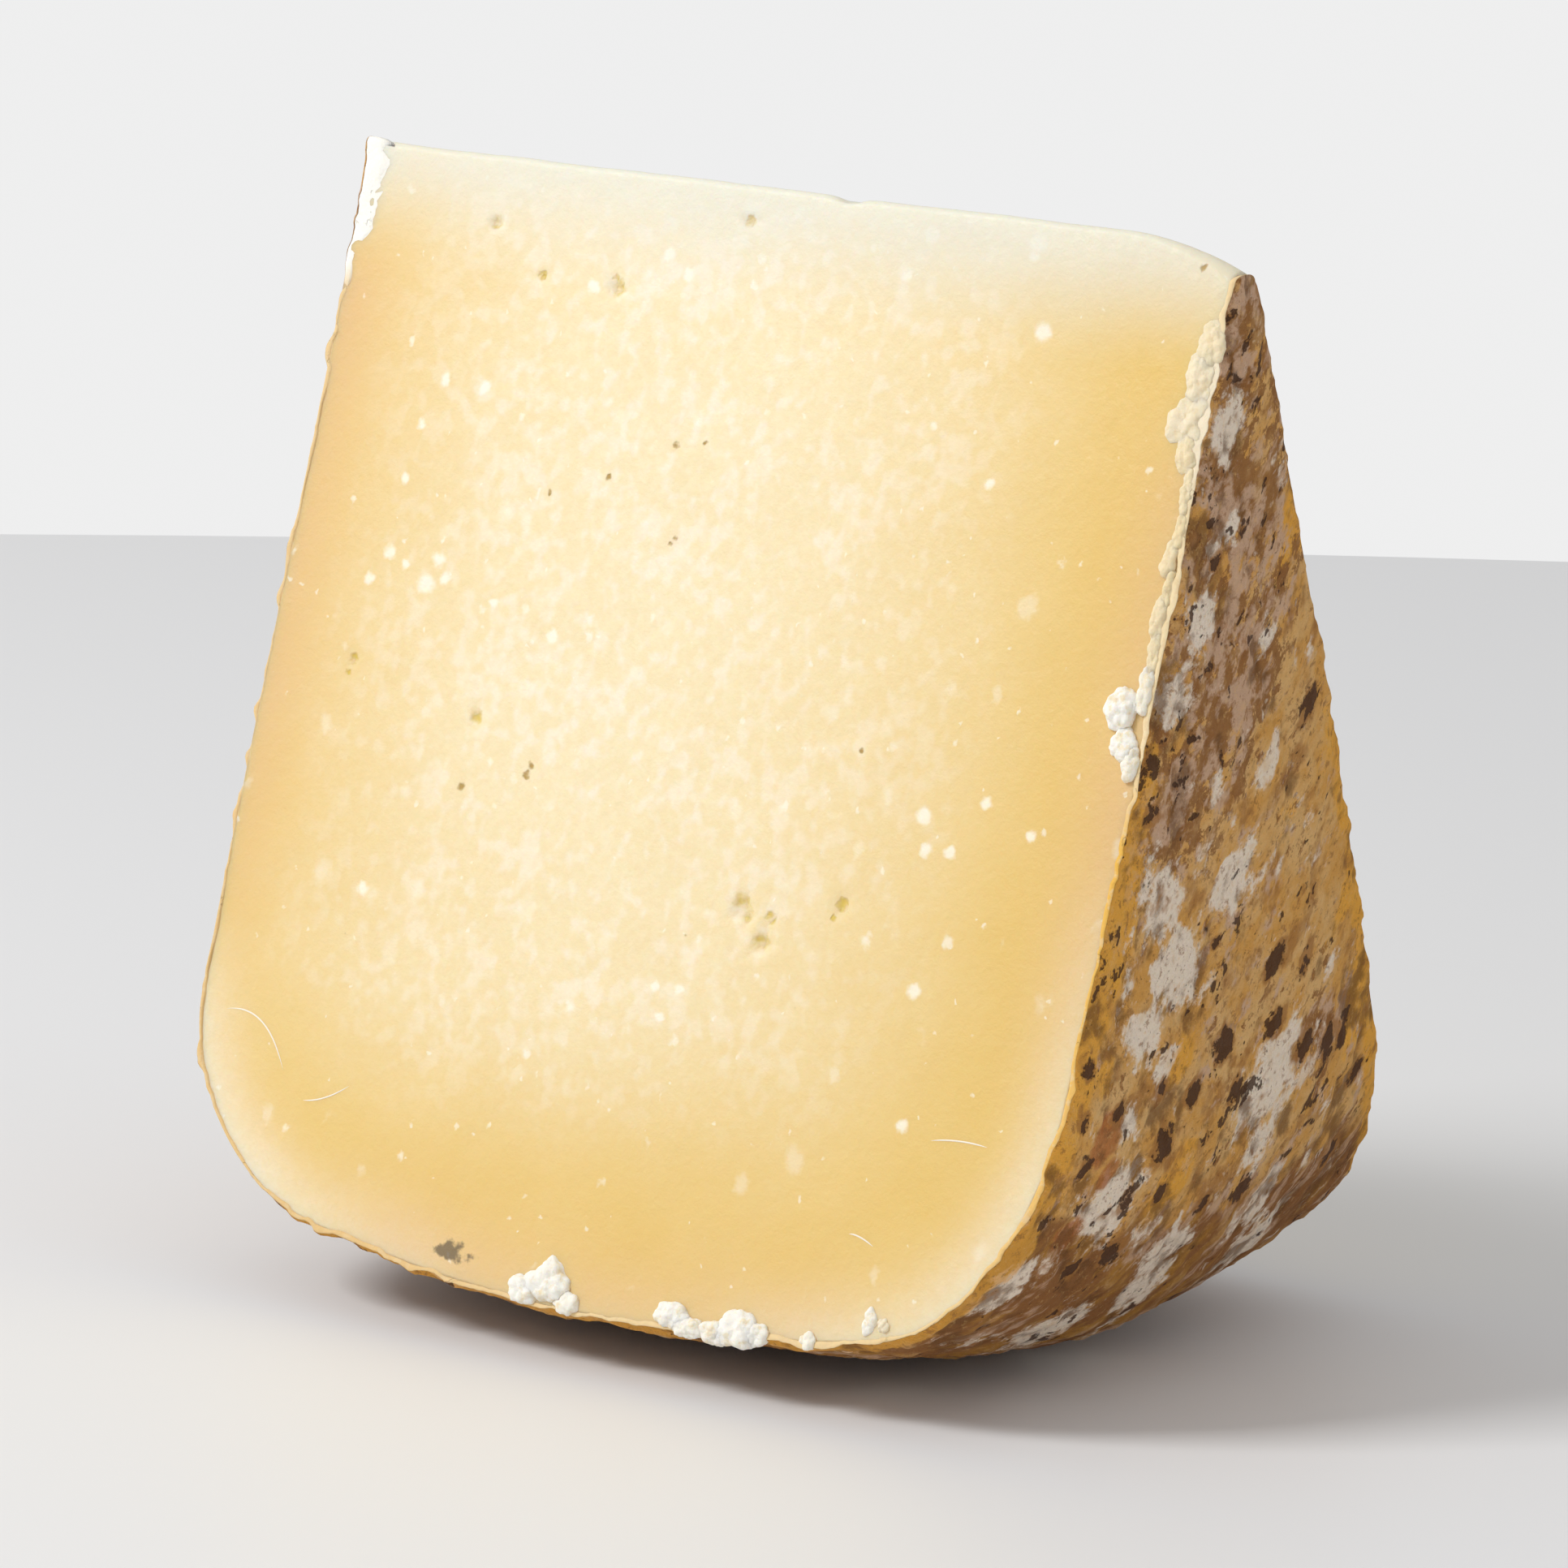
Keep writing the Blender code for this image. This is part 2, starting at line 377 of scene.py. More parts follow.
def tip_edge(x):
    """Rows of points over the tip: an arc of the edge's radius from the front cut to the back."""
    radius = edge_round(x)[:, None]
    reach = math.pi / 2 - HALF_ANGLE
    turn = np.linspace(reach, -reach, BAND_STEPS + 1)
    centre = AXIS_HEIGHT - radius / math.sin(HALF_ANGLE)
    points = np.stack(np.broadcast_arrays(
        x[:, None], -radius * np.sin(turn), centre + radius * np.cos(turn)), axis=-1)
    top = np.cos(turn / reach * math.pi / 2)
    wear = 0.10 * MM * rough(points, 7 * MM, 2, 8.1) + 0.03 * MM * noise(points, 1.5 * MM)
    nick = NICK[2] * np.exp(-((points[..., 0] - NICK[0]) / NICK[1]) ** 2)
    points[..., 2] += top * (wear - nick)
    return points


def border(face):
    """A face's border from the left tip down, along the heel and up to the right tip."""
    return np.concatenate([face[:, 0], face[-1, 1:], face[-2::-1, -1]])


tip = tip_edge(plan_x[0])
tip[:, 0] = front_face[0]
tip[:, -1] = back_face[0]
sweep = np.linspace(HALF_ANGLE, -HALF_ANGLE, BAND_STEPS + 1)
band = place(border(plan_x)[:, None], border(plan_r)[:, None], sweep)
band[:, 0] = border(front_face)
band[:, -1] = border(back_face)
band[0] = tip[0]
band[-1] = tip[-1]
grids = [front_face, back_face, tip, band]
flips = [True, False, True, False]
firsts = np.cumsum([0] + [grid.shape[0] * grid.shape[1] for grid in grids])
paste_points = np.concatenate([grid.reshape(-1, 3) for grid in grids])
paste_quads = np.concatenate([
    grid_faces(*grid.shape[:2], first, flip) for grid, first, flip in zip(grids, firsts, flips)])
print("paste grids", [grid.shape[:2] for grid in grids])

# %% [markdown]
# ## How the colour of the paste changes
#
# Cheese ripens and dries from the rind inwards: the middle stays ivory, a finger's width from the rind it
# turns golden, and right under the rind it is peach where it has dried. Where the paste by the rind is
# thin and translucent, a painted glow is laid on: pale colour that stands in for light shining through
# it. The material can't know how far the rind is, so each point of the paste carries these shares as
# attributes. They follow from its place and from the nearest point of the rind.

# %% Shares of gold, peach, painted glow and mould in the paste
RIND_LENGTHS = np.linspace(0, OUTLINE_LENGTH, 700)
RIND_POINTS = np.stack(outline(RIND_LENGTHS), axis=-1)
S_MM = OUTLINE_LENGTH / MM
GREY_PATCHES = [(-15.6, 117.6, 2.0, 1.3, 1.0), (-12.9, 118.0, 1.0, 0.8, 0.8)]


def along(*pairs):
    """A value along the outline, linear between (millimetres along, value) pairs."""
    at, value = np.array(pairs).T
    return lambda s: np.interp(s / MM, at, value)


def axis_places(points):
    """x and r of each point."""
    return points[..., 0], np.hypot(points[..., 1], AXIS_HEIGHT - points[..., 2])


def under_rind(points):
    """Each point's shortest distance to the outline, and the length along the outline there."""
    flat = np.stack(axis_places(points), axis=-1)
    apart = np.full(len(flat), 1.0)
    length = np.zeros(len(flat))
    for part, lengths in zip(np.array_split(RIND_POINTS, 14), np.array_split(RIND_LENGTHS, 14)):
        each = np.linalg.norm(flat[:, None] - part, axis=-1)
        nearer = each.min(axis=1) < apart
        length[nearer] = lengths[each.argmin(axis=1)[nearer]]
        apart = np.minimum(apart, each.min(axis=1))
    return apart, length


def gold_share(points):
    """Golden bands along the left rind, the right rind and the heel, joined like shadows."""
    x, r = axis_places(points)
    left = 0.86 * np.exp(-(np.clip(x - left_flat(r), 0, 1) / (22 * MM)) ** 1.6)
    right = 1.10 * np.exp(-(np.clip(right_flat(r) - x, 0, 1) / (33 * MM)) ** 1.8)
    up = (WHEEL_RADIUS - r) / MM
    heel = 0.66 * (1 - ease(up, 9, 35)) + 0.30 * np.exp(-(up / 42) ** 2)
    return 1 - (1 - left) * (1 - np.minimum(right, 1)) * (1 - heel)


def grey_mould_share(points):
    """Two soft ellipses of grey mould near the heel: the stronger of exp(-distance^2)."""
    value = 0.0
    x, r = axis_places(points)
    for mark_x, mark_r, wide, tall, strength in GREY_PATCHES:
        apart = ((x / MM - mark_x) / wide) ** 2 + ((r / MM - mark_r) / tall) ** 2
        value = np.maximum(value, strength * np.exp(-apart))
    return value


peach_along = along((0, 0.2), (8, 0.3), (16, 0.9), (30, 0.7), (60, 0.75), (80, 0.5), (95, 0.0),
                    (125, 0.0), (138, 0.7), (190, 0.5), (205, 0.0), (S_MM - 95, 0.0), (S_MM - 80, 0.5),
                    (S_MM - 55, 0.9), (S_MM - 25, 0.7), (S_MM - 12, 0.1), (S_MM, 0.0))
# Painted light: how strongly a pale glow, for light shining through the thin paste, lies along the rind.
painted_glow_along = along((0, 0.2), (6, 0.0), (84, 0.0), (96, 0.75), (118, 0.95), (133, 0.5), (150, 0.15),
                   (180, 0.2), (195, 0.6), (212, 0.8), (228, 0.75), (S_MM - 75, 0.3), (S_MM - 62, 0.0),
                   (S_MM, 0.0))
depth, nearest_s = under_rind(paste_points)
paste = make_piece("paste", paste_points, paste_quads, {
    "gold": gold_share(paste_points), "mould": grey_mould_share(paste_points),
    "peach": peach_along(nearest_s) * np.exp(-(depth / (6.5 * MM)) ** 1.5),
    "painted_glow": painted_glow_along(nearest_s) * np.exp(-(depth / (5.5 * MM)) ** 2)})
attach(paste, "root")
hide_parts("cheese_wedge")

# %% [markdown]
# ## The rind
#
# The rind is a dry crust about a millimetre thick, rough with the cloth it was pressed in and
# with years of brushed-off mould. It is one closed loop carried along the outline: the outer
# skin from the front cut to the back, the rim that shows on each cut, and a plain inner side that
# sits in the paste. The rim widens where the knife tore the paste beside the rind.

# %% How wide the rim is along the outline
RIND_STEPS = 640
SKIN_COLUMNS = 116
RIM_SHARES = np.array([0.12, 0.3, 0.5, 0.72, 0.92])
INNER_COLUMNS = 6
INNER_DEPTH = 1.5 * MM
RIND_END = OUTLINE_LENGTH - 3.6 * MM
front_rim = along((0, 4.2), (5, 4.4), (9, 3.4), (14, 1.4), (16, 0.8), (30, 0.5), (60, 0.5),
                  (105, 0.45), (150, 0.6), (230, 0.7), (S_MM - 92, 0.7), (S_MM - 58, 0.8),
                  (S_MM - 44, 1.1), (S_MM - 26, 1.4), (S_MM - 22, 3.4), (S_MM - 11, 3.6),
                  (S_MM - 8, 1.2), (S_MM, 1.0))
back_rim = along((0, 1.0), (40, 0.8), (90, 1.4), (150, 0.7), (220, 0.9), (S_MM - 60, 2.2),
                 (S_MM - 40, 0.9), (S_MM, 1.0))
KNOBS = [(17, 0.5, 1.0), (22.6, 0.7, 1.2), (25.2, -0.4, 0.8), (50, 0.5, 1.4), (52, -0.4, 1.0),
         (62.4, 0.7, 1.1), (64.4, -0.4, 0.8), (67.6, 0.6, 0.9), (69.4, -0.35, 0.9), (80, 0.3, 1.0),
         (101, 0.4, 1.2), (124, 0.4, 1.5), (128, 0.5, 1.0)]
print("the rind is carried along", round(RIND_END / MM), "mm in", RIND_STEPS, "steps")

# %% [markdown]
# The skin's relief has three scales: slow dents from handling, ridges a few millimetres apart,
# and a fine crust. Near each cut the skin is chipped, so the rim's outline is ragged, and a few
# knobs and dents (place along the outline, height and half width in mm) stand out from it.

# %% The rind's shape
DEEPEST = 0.45 * MM
LEAST_RIM = 0.8 * MM


def skin_relief(points, s, from_edge, in_front):
    """Height of the skin: dents, ridges and crust, with chips and knobs that fade from the cuts."""
    dents = 0.35 * MM * rough(points, 19 * MM, 2, 2.2)
    ridges = 0.30 * MM * rough(points * np.array([1, 1, 0.6]), 3.4 * MM, 3, 4.4)
    crust = 0.34 * MM * (0.55 - lumps(points, 1.6 * MM, 0.4))
    chips = 0.42 * MM * rough(points, 3.2 * MM, 3, 6.6) - 0.10 * MM
    relief = dents + ridges + crust + chips * (1 - ease(from_edge, 0, 2.4 * MM))
    relief -= 0.25 * MM * (1 - ease(from_edge, 0, 0.7 * MM))
    for at, height, wide in KNOBS:
        knob = np.exp(-((s / MM - at) / wide) ** 2 - (from_edge / (1.6 * MM)) ** 2)
        relief += height * MM * knob * in_front
    relief *= ease(s, -4 * MM, 3 * MM) * ease(RIND_END - s, -4 * MM, 3 * MM)
    return np.maximum(relief, -DEEPEST), 0.5 + (ridges + crust) / (0.7 * MM)


def inwards(s, phi):
    """The direction into the cheese, square to the rind: a step of one metre along the normal."""
    return place(*outline(s, 1.0), phi) - place(*outline(s), phi)


def rim(skin, relief, s, side, width):
    """Points from the skin's edge inwards over a cut: crumbs raised by a sine, the far end sunk."""
    column = 0 if side > 0 else -1
    edge = skin[:, column]
    shares = RIM_SHARES[::-1] if side > 0 else RIM_SHARES
    wide = width(s) * MM * (1 + 0.42 * rough(edge, 3.2 * MM, 3, 9.5)[:, None])
    wide = np.maximum(wide, LEAST_RIM + relief[:, column, None])
    base = edge[:, None] + inwards(s, side * HALF_ANGLE) * (wide * shares)[..., None]
    crumb = 0.22 * MM * np.clip(0.75 - lumps(base, 1.3 * MM, 7.7), -0.2, 1)
    crumb += 0.14 * MM * rough(base, 1.6 * MM, 2, 3.1)
    raised = crumb * np.sin(math.pi * shares) * np.minimum(1, 0.8 * wide / MM)
    raised += 0.10 * MM - 0.75 * MM * shares ** 8
    return base + cut_normal(side) * raised[..., None]


def buried(s, width, turn):
    """A row of points in the paste, under a rim's inner border."""
    return place(*outline(s, np.maximum(width(s), 1.0) * MM), turn * HALF_ANGLE)


def rind_loops():
    """One closed loop of skin, rims and inner side at each step along, and the height of its relief."""
    s = np.linspace(0, RIND_END, RIND_STEPS + 1)[:, None]
    turn = np.linspace(1, -1, SKIN_COLUMNS)
    from_edge = outline(s)[1] * HALF_ANGLE * (1 - np.abs(turn))
    skin = place(*outline(s), HALF_ANGLE * turn)
    relief, height = skin_relief(skin, s, from_edge, turn > 0)
    skin = skin - inwards(s, HALF_ANGLE * turn) * relief[..., None]
    skin[..., 2] = np.maximum(skin[..., 2], 0)
    inner = place(*outline(s, INNER_DEPTH), HALF_ANGLE * np.linspace(-0.94, 0.94, INNER_COLUMNS))
    looped = np.concatenate([
        skin, rim(skin, relief, s, -1, back_rim), buried(s, back_rim, -0.96),
        inner, buried(s, front_rim, 0.96), rim(skin, relief, s, 1, front_rim)], axis=1)
    heights = np.full(looped.shape[:2], 0.5)
    heights[:, :SKIN_COLUMNS] = height
    return looped, heights


loops, relief_height = rind_loops()
print("rind grid", loops.shape)

# %% [markdown]
# The two ends of the loop, at the tip, close with a small dome. Each ring of the dome is the last
# loop drawn in towards its middle and lifted, by a cosine and a sine of the same angle.

# %% Closing the rind at the tip
DOME_RINGS = 6
DOME_HEIGHT = 1.0 * MM


def dome(loop):
    """Rings that close a loop: drawn in by cos and lifted by sin from 0 to a quarter turn."""
    turn = np.linspace(0, math.pi / 2, DOME_RINGS + 1)[1:, None, None]
    middle = loop.mean(axis=0)
    middle[1] = 0.0
    lift = np.array([0, 0, DOME_HEIGHT])
    return middle + (loop - middle) * np.cos(turn) + lift * np.sin(turn)


rind_grid = np.concatenate([dome(loops[0])[::-1], loops, dome(loops[-1])])
rind_quads = grid_faces(*rind_grid.shape[:2], 0, closed=True)
print("with its domes", rind_grid.shape)

# %% [markdown]
# ## What colours the rind
#
# Brushed and turned for months, a natural rind carries several moulds at once: ochre where the paste's
# fat comes through, grey-mauve where it is dusty, chalky where a bloom still grows, and dark brown in
# spots. The strongest patches are listed one by one. Each has its place across the rind (towards the
# front cut), its place down from the tip and its half width in millimetres, and it is longer along the
# brushing, which runs at a slant. The material breaks its border up.

# %% Patches on the rind
BRUSHED = math.radians(38)
BLOOM = [(-5, 56, 1.8), (0, 67, 3.2), (13, 69.5, 3.6), (13, 49, 2.2), (4.5, 56.5, 1.4), (10, 76, 4.1),
         (15.5, 83, 2.6), (11, 85.5, 1.9), (18, 91.5, 1.7), (-8.5, 90.5, 4.3), (-8, 97, 2.4),
         (19, 101.5, 3.6), (5, 107.5, 3.1), (-11, 104.5, 2.4), (4, 112.5, 2.9), (2, 30.5, 1.6),
         (3, 19.5, 2.6), (30, 111, 3.1), (-4, 43, 1.6), (8, 40, 1.8), (16, 118, 3.6), (-16, 112, 3.6),
         (2, 126, 4.2), (24, 132, 3.6)]
DARK = [(-8, 77.5, 1.4), (-13.5, 79.5, 1.0), (2.5, 73.5, 0.8), (16, 55.5, 1.0), (16, 60, 1.0),
        (-12, 52, 1.4), (0.5, 85, 1.5), (-8.5, 84.5, 1.3), (-14.5, 88.5, 1.2), (-18.5, 89.5, 1.1),
        (-21.5, 90, 1.0), (-26, 96, 1.0), (5.5, 89, 1.1), (-2, 90, 1.0), (10.5, 94, 1.7),
        (11.5, 88, 0.9), (26.3, 92, 0.8), (25.5, 86.7, 0.9), (20, 90.5, 0.9), (24.5, 96.5, 1.1),
        (15.5, 99.5, 0.9), (0.5, 102, 0.8), (-6.5, 102.5, 1.3), (20.5, 108.5, 1.2), (14.5, 106.5, 1.5),
        (-25, 105, 1.2), (9.5, 99.5, 0.9), (18.5, 114.5, 0.8), (3.5, 116, 0.8), (5, 34, 0.8),
        (-10, 120, 1.4), (10, 130, 1.6)]
BROWN = [(0, 12, 7), (2, 30, 9), (4, 46, 10), (11, 59, 7), (-18, 89, 4), (0, 108, 5), (-12, 110, 5),
         (12, 120, 8)]
RUST = [(22, 94, 2.2), (20.5, 97, 1.4), (24, 104, 1.5)]
GOLDEN_EDGE = [(24, 78, 2.2), (26, 84, 2.4), (23, 86.5, 2.0), (27.5, 92, 1.6), (29.5, 99, 1.5),
               (31, 106, 1.8), (18, 64, 1.2), (17, 58, 1.0), (8, 84.5, 2.0), (7.5, 98, 2.4),
               (-17, 57, 2.2), (-21.5, 75, 2.2), (-25, 88, 2.2), (-9, 31, 2.0)]


def flow_axes(across, length):
    """Place along and across the brushing: both axes turned by its slant."""
    along_it = length * math.cos(BRUSHED) - across * math.sin(BRUSHED)
    beside_it = length * math.sin(BRUSHED) + across * math.cos(BRUSHED)
    return along_it, beside_it


def rind_marks(across, down, marks, longer=1.8):
    """The strongest of several soft ellipses, each `longer` times as long along the brushing."""
    value = np.zeros(across.shape)
    for mark_across, mark_down, wide in marks:
        along_it, beside_it = flow_axes(across / MM - mark_across, mark_down - down / MM)
        apart = (along_it / (longer * wide)) ** 2 + (beside_it / wide) ** 2
        value = np.maximum(value, np.exp(-apart))
    return value


def rind_places(grid):
    """Each point's length along the rind, place across it towards the front, and depth under it."""
    x, r = axis_places(grid)
    rows = np.linspace(0, RIND_END, RIND_STEPS + 1)
    rings = DOME_HEIGHT * np.arange(1, DOME_RINGS + 1) / DOME_RINGS
    lengths = np.concatenate([-rings[::-1], rows, RIND_END + rings])[:, None] + 0 * x
    across = r * np.arcsin(np.clip(-grid[..., 1] / r, -1, 1))
    under = np.linalg.norm(grid - grid[:, [0]], axis=-1)
    under[:, :SKIN_COLUMNS] = 0
    return lengths, across, under


def golden_share(across, down):
    """Golden patches, and a band beside each cut that starts halfway down."""
    to_front = HALF_ANGLE * np.minimum(down, WHEEL_RADIUS) - across
    to_back = HALF_ANGLE * np.minimum(down, WHEEL_RADIUS) + across
    front_band = np.exp(-(to_front / (3.8 * MM)) ** 2)
    back_band = 0.8 * np.exp(-(to_back / (2.8 * MM)) ** 2)
    beside = np.maximum(front_band, back_band)
    halfway = ease(down, 48 * MM, 62 * MM)
    return np.maximum(rind_marks(across, down, GOLDEN_EDGE, 2.2), 1.4 * beside * halfway)


rind_s, rind_across, rind_under = rind_places(rind_grid)
flow = np.stack([*flow_axes(rind_across, rind_s), rind_under], axis=-1)
right_half = rind_s > LEFT_TURN + 0.5 * (RIGHT_TURN - LEFT_TURN)
down = np.where(right_half, OUTLINE_LENGTH - rind_s, rind_s) + FIRST_R
mirrored = np.where(right_half, rind_across, -rind_across)
on_rim = np.zeros(rind_grid.shape[:2])
on_rim[:, SKIN_COLUMNS:] = 1.0
cream_along = along((0, 0.5), (90, 0.3), (140, 0.3), (165, 0.7), (205, 0.7), (225, 0.2),
                    (S_MM - 62, 0.0), (S_MM - 52, 1.0), (S_MM - 8, 1.0), (S_MM, 0.4))
white_along = along((0, 1.0), (13, 1.0), (16, 0.0), (S_MM - 27, 0.0), (S_MM - 22, 0.35),
                    (S_MM - 11, 0.35), (S_MM - 8, 0.0), (S_MM, 0.0))
orange_along = along((0, 0.0), (20, 0.3), (100, 0.3), (150, 0.4), (S_MM - 100, 0.8), (S_MM - 62, 0.95),
                     (S_MM - 50, 0.5), (S_MM - 40, 0.2), (S_MM, 0.2))
painted = {"rim": on_rim, "cream": cream_along(rind_s), "white": white_along(rind_s),
           "orange": orange_along(rind_s),
           "bloom": rind_marks(mirrored, down, BLOOM, 1.5), "dark": rind_marks(mirrored, down, DARK, 1.5),
           "brown": rind_marks(mirrored, down, BROWN, 1.3), "rust": rind_marks(mirrored, down, RUST),
           "height": np.pad(relief_height, ((DOME_RINGS, DOME_RINGS), (0, 0)), mode="edge"),
           "heel": ease(down, 96 * MM, 110 * MM), "golden": golden_share(mirrored, down)}
fields = {key: values.reshape(-1) for key, values in painted.items()}
fields["flow"] = flow.reshape(-1, 3)
rind = make_piece("rind", rind_grid.reshape(-1, 3), rind_quads, fields)
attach(rind, "root")

# %% [markdown]
# ## Crumbs and mould on the rims
#
# Where a knife leaves the cheese, crumbs of paste stay on the rim, and in a few weeks white mould
# grows over them in small cauliflower heads. Scattered balls would look like pebbles, because real
# heads have grown together. So each head here is one ellipsoid, half sunk in the cheese, that
# swells by a fraction of a millimetre near each point of `lumps`, and once more at half that scale.

# %% Heads of mould
HEAD_ROWS = 34
HEAD_TURNS = 56
HEAD_POINTS = HEAD_ROWS * HEAD_TURNS
HEADS = [(1, -1.9, 118.7, 2.6, 2.4, 1.2, 0.0), (1, -4.9, 119.9, 2.1, 1.5, 1.0, 0.0),
         (1, 0.8, 120.4, 1.6, 1.2, 0.8, 0.1), (1, 13.9, 119.4, 2.0, 1.5, 0.9, 0.0),
         (1, 16.6, 120.3, 1.6, 1.0, 0.7, 0.1), (1, 20.0, 120.2, 1.9, 1.2, 0.8, 0.1),
         (1, 22.8, 119.4, 2.5, 1.8, 1.0, 0.0), (1, 25.2, 119.6, 1.3, 1.2, 0.7, 0.1),
         (1, 31.7, 119.1, 1.0, 0.8, 0.5, 0.2), (1, 38.6, 115.9, 0.7, 1.3, 0.5, 0.1),
         (1, 40.3, 115.9, 0.6, 0.7, 0.4, 0.6), (1, 53.9, 50.2, 1.7, 2.0, 1.0, 0.0),
         (1, 54.7, 53.6, 1.5, 1.8, 0.9, 0.0), (1, 56.0, 48.2, 0.9, 3.0, 0.7, 0.3),
         (1, 56.1, 55.6, 0.8, 1.8, 0.7, 0.2), (1, 55.6, 12.2, 1.4, 2.9, 0.5, 0.8),
         (1, 54.9, 16.0, 1.9, 3.0, 0.5, 0.7), (1, 54.4, 20.2, 2.0, 3.0, 0.5, 0.7),
         (1, 55.2, 23.9, 1.3, 2.2, 0.5, 0.9), (1, 56.1, 27.6, 0.7, 2.6, 0.4, 0.9),
         (1, 56.3, 31.4, 0.6, 2.3, 0.4, 1.0), (1, 55.7, 34.6, 0.8, 2.2, 0.5, 0.9),
         (1, 56.3, 37.6, 0.6, 2.3, 0.4, 1.0), (1, 55.8, 41.0, 0.8, 2.3, 0.5, 0.9),
         (1, 56.2, 44.4, 0.7, 2.4, 0.4, 0.9), (-1, -29.0, 117.2, 2.3, 1.6, 1.0, 0.0),
         (-1, -32.0, 116.6, 1.5, 1.1, 0.8, 0.0), (-1, 7.0, 119.4, 2.2, 1.2, 0.8, 0.1),
         (-1, 10.5, 119.6, 1.6, 1.0, 0.6, 0.1), (-1, -55.6, 58.5, 0.9, 2.4, 0.7, 0.2),
         (-1, -55.4, 62.5, 1.1, 2.0, 0.8, 0.1), (-1, 55.2, 27.0, 0.9, 2.6, 0.6, 0.7),
         (-1, 55.3, 31.5, 0.8, 2.4, 0.6, 0.7)]


def head(side, x, r, wide, tall, high, shift):
    """An ellipsoid laid on a cut, its points moved out along it by lumps of two sizes and a noise."""
    polar = np.linspace(0, math.pi, HEAD_ROWS)[:, None]
    turn = np.linspace(0, 2 * math.pi, HEAD_TURNS, endpoint=False)
    sphere = np.stack(np.broadcast_arrays(
        np.sin(polar) * np.cos(turn), np.sin(polar) * np.sin(turn), np.cos(polar)), axis=-1)
    points = sphere * np.array([wide, tall, high]) * MM
    points = points * (1 + 0.30 * noise(points, 1.9 * MM, shift)[..., None])
    swell = 0.55 * MM * (0.55 - lumps(points, 1.15 * MM, shift))
    swell += 0.20 * MM * (0.55 - lumps(points, 0.5 * MM, shift))
    down_the_cut = [0, -side * math.sin(HALF_ANGLE), -math.cos(HALF_ANGLE)]
    axes = np.array([[1, 0, 0], down_the_cut, cut_normal(side)])
    middle = place(side * x * MM, r * MM, side * HALF_ANGLE)
    return middle + (points + sphere * swell[..., None]) @ axes


heads = np.stack([head(*mark[:-1], 1.7 * k) for k, mark in enumerate(HEADS)])
creaminess = np.repeat([mark[-1] for mark in HEADS], HEAD_POINTS)
head_quads = np.concatenate([
    grid_faces(HEAD_ROWS, HEAD_TURNS, k * HEAD_POINTS, closed=True) for k in range(len(heads))])
mould = make_piece("mould", heads.reshape(-1, 3), head_quads, {"cream": creaminess})
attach(mould, "root")

# %% [markdown]
# A few fine hairs of dried curd lie on the front cut, left by the knife. Each is a thin tube: a
# circle of six points carried along a curve through three places, with its ends drawn to a point.

# %% Hairs on the front cut
HAIRS = [((-52.0, 97.2), (-46.8, 97.8), (-42.5, 102.6)), ((-39.1, 105.2), (-36.2, 104.5), (-33.2, 102.7)),
         ((41.3, 96.6), (44.8, 96.1), (48.4, 96.2)), ((33.8, 107.5), (35.2, 107.6), (37.1, 108.3))]
HAIR_RADIUS = 0.09 * MM
HAIR_STEPS = 30
HAIR_SIDES = 6


def hair(ends_and_middle):
    """A tube along the parabola through three places on the front cut, tapered as 1 - t^4."""
    t = np.linspace(-1, 1, HAIR_STEPS)[:, None]
    first, middle, last = (place(x * MM, r * MM, HALF_ANGLE) for x, r in ends_and_middle)
    line = middle + t * (last - first) / 2 + t ** 2 * ((last + first) / 2 - middle)
    line = line + cut_normal(1) * face_relief(line, 1)[..., None]
    tangent = np.gradient(line, axis=0)
    tangent /= np.linalg.norm(tangent, axis=-1, keepdims=True)
    across = np.cross(tangent, cut_normal(1))
    turn = np.linspace(0, 2 * math.pi, HAIR_SIDES, endpoint=False)[None, :, None]
    circle = across[:, None] * np.cos(turn) + cut_normal(1) * np.sin(turn)
    return line[:, None] + circle * (HAIR_RADIUS * (1 - t ** 4))[..., None]


tubes = np.stack([hair(places) for places in HAIRS])
hair_quads = np.concatenate([
    grid_faces(HAIR_STEPS, HAIR_SIDES, k * HAIR_STEPS * HAIR_SIDES, flip=True, closed=True)
    for k in range(len(HAIRS))])
hairs = make_piece("hairs", tubes.reshape(-1, 3), hair_quads)
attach(hairs, "root")

# %% [markdown]
# ## Building materials from small steps
#
# A material is a chain of nodes. These helpers each add one link of it: a noise of a real size, a
# soft threshold, a mix of two colours. All patterns read the point's own place in metres, so they
# keep their size and stay on the cheese when the view turns.

# %% Material helpers
def feed(tree, socket, value):
    """Link a socket's output to an input, or set the input to a plain value."""
    if isinstance(value, bpy.types.NodeSocket):
        tree.links.new(value, socket)
    else:
        socket.default_value = value


def own_place(tree):
    """The point's place on the object, in metres."""
    return tree.nodes.new("ShaderNodeTexCoord").outputs["Object"]


def parts_of(tree, where):
    """The three numbers of a place, as the outputs X, Y and Z."""
    made = tree.nodes.new("ShaderNodeSeparateXYZ")
    tree.links.new(where, made.inputs[0])
    return made.outputs


def field(tree, name):
    """A point attribute of the mesh."""
    read = tree.nodes.new("ShaderNodeAttribute")
    read.attribute_name = name
    return read.outputs["Fac"]


def calc(tree, operation, a, b=0.0, limit=False, kind="ShaderNodeMath"):
    """A sum, product or the like of two values, held between 0 and 1 if asked."""
    made = tree.nodes.new(kind)
    made.operation = operation
    if limit:
        made.use_clamp = True
    feed(tree, made.inputs[0], a)
    feed(tree, made.inputs[1], b)
    return made.outputs[0]


def vector_calc(tree, operation, a, b):
    """The same for two vectors."""
    return calc(tree, operation, a, b, kind="ShaderNodeVectorMath")


def times(tree, a, b):
    """The product of two values."""
    return calc(tree, "MULTIPLY", a, b)


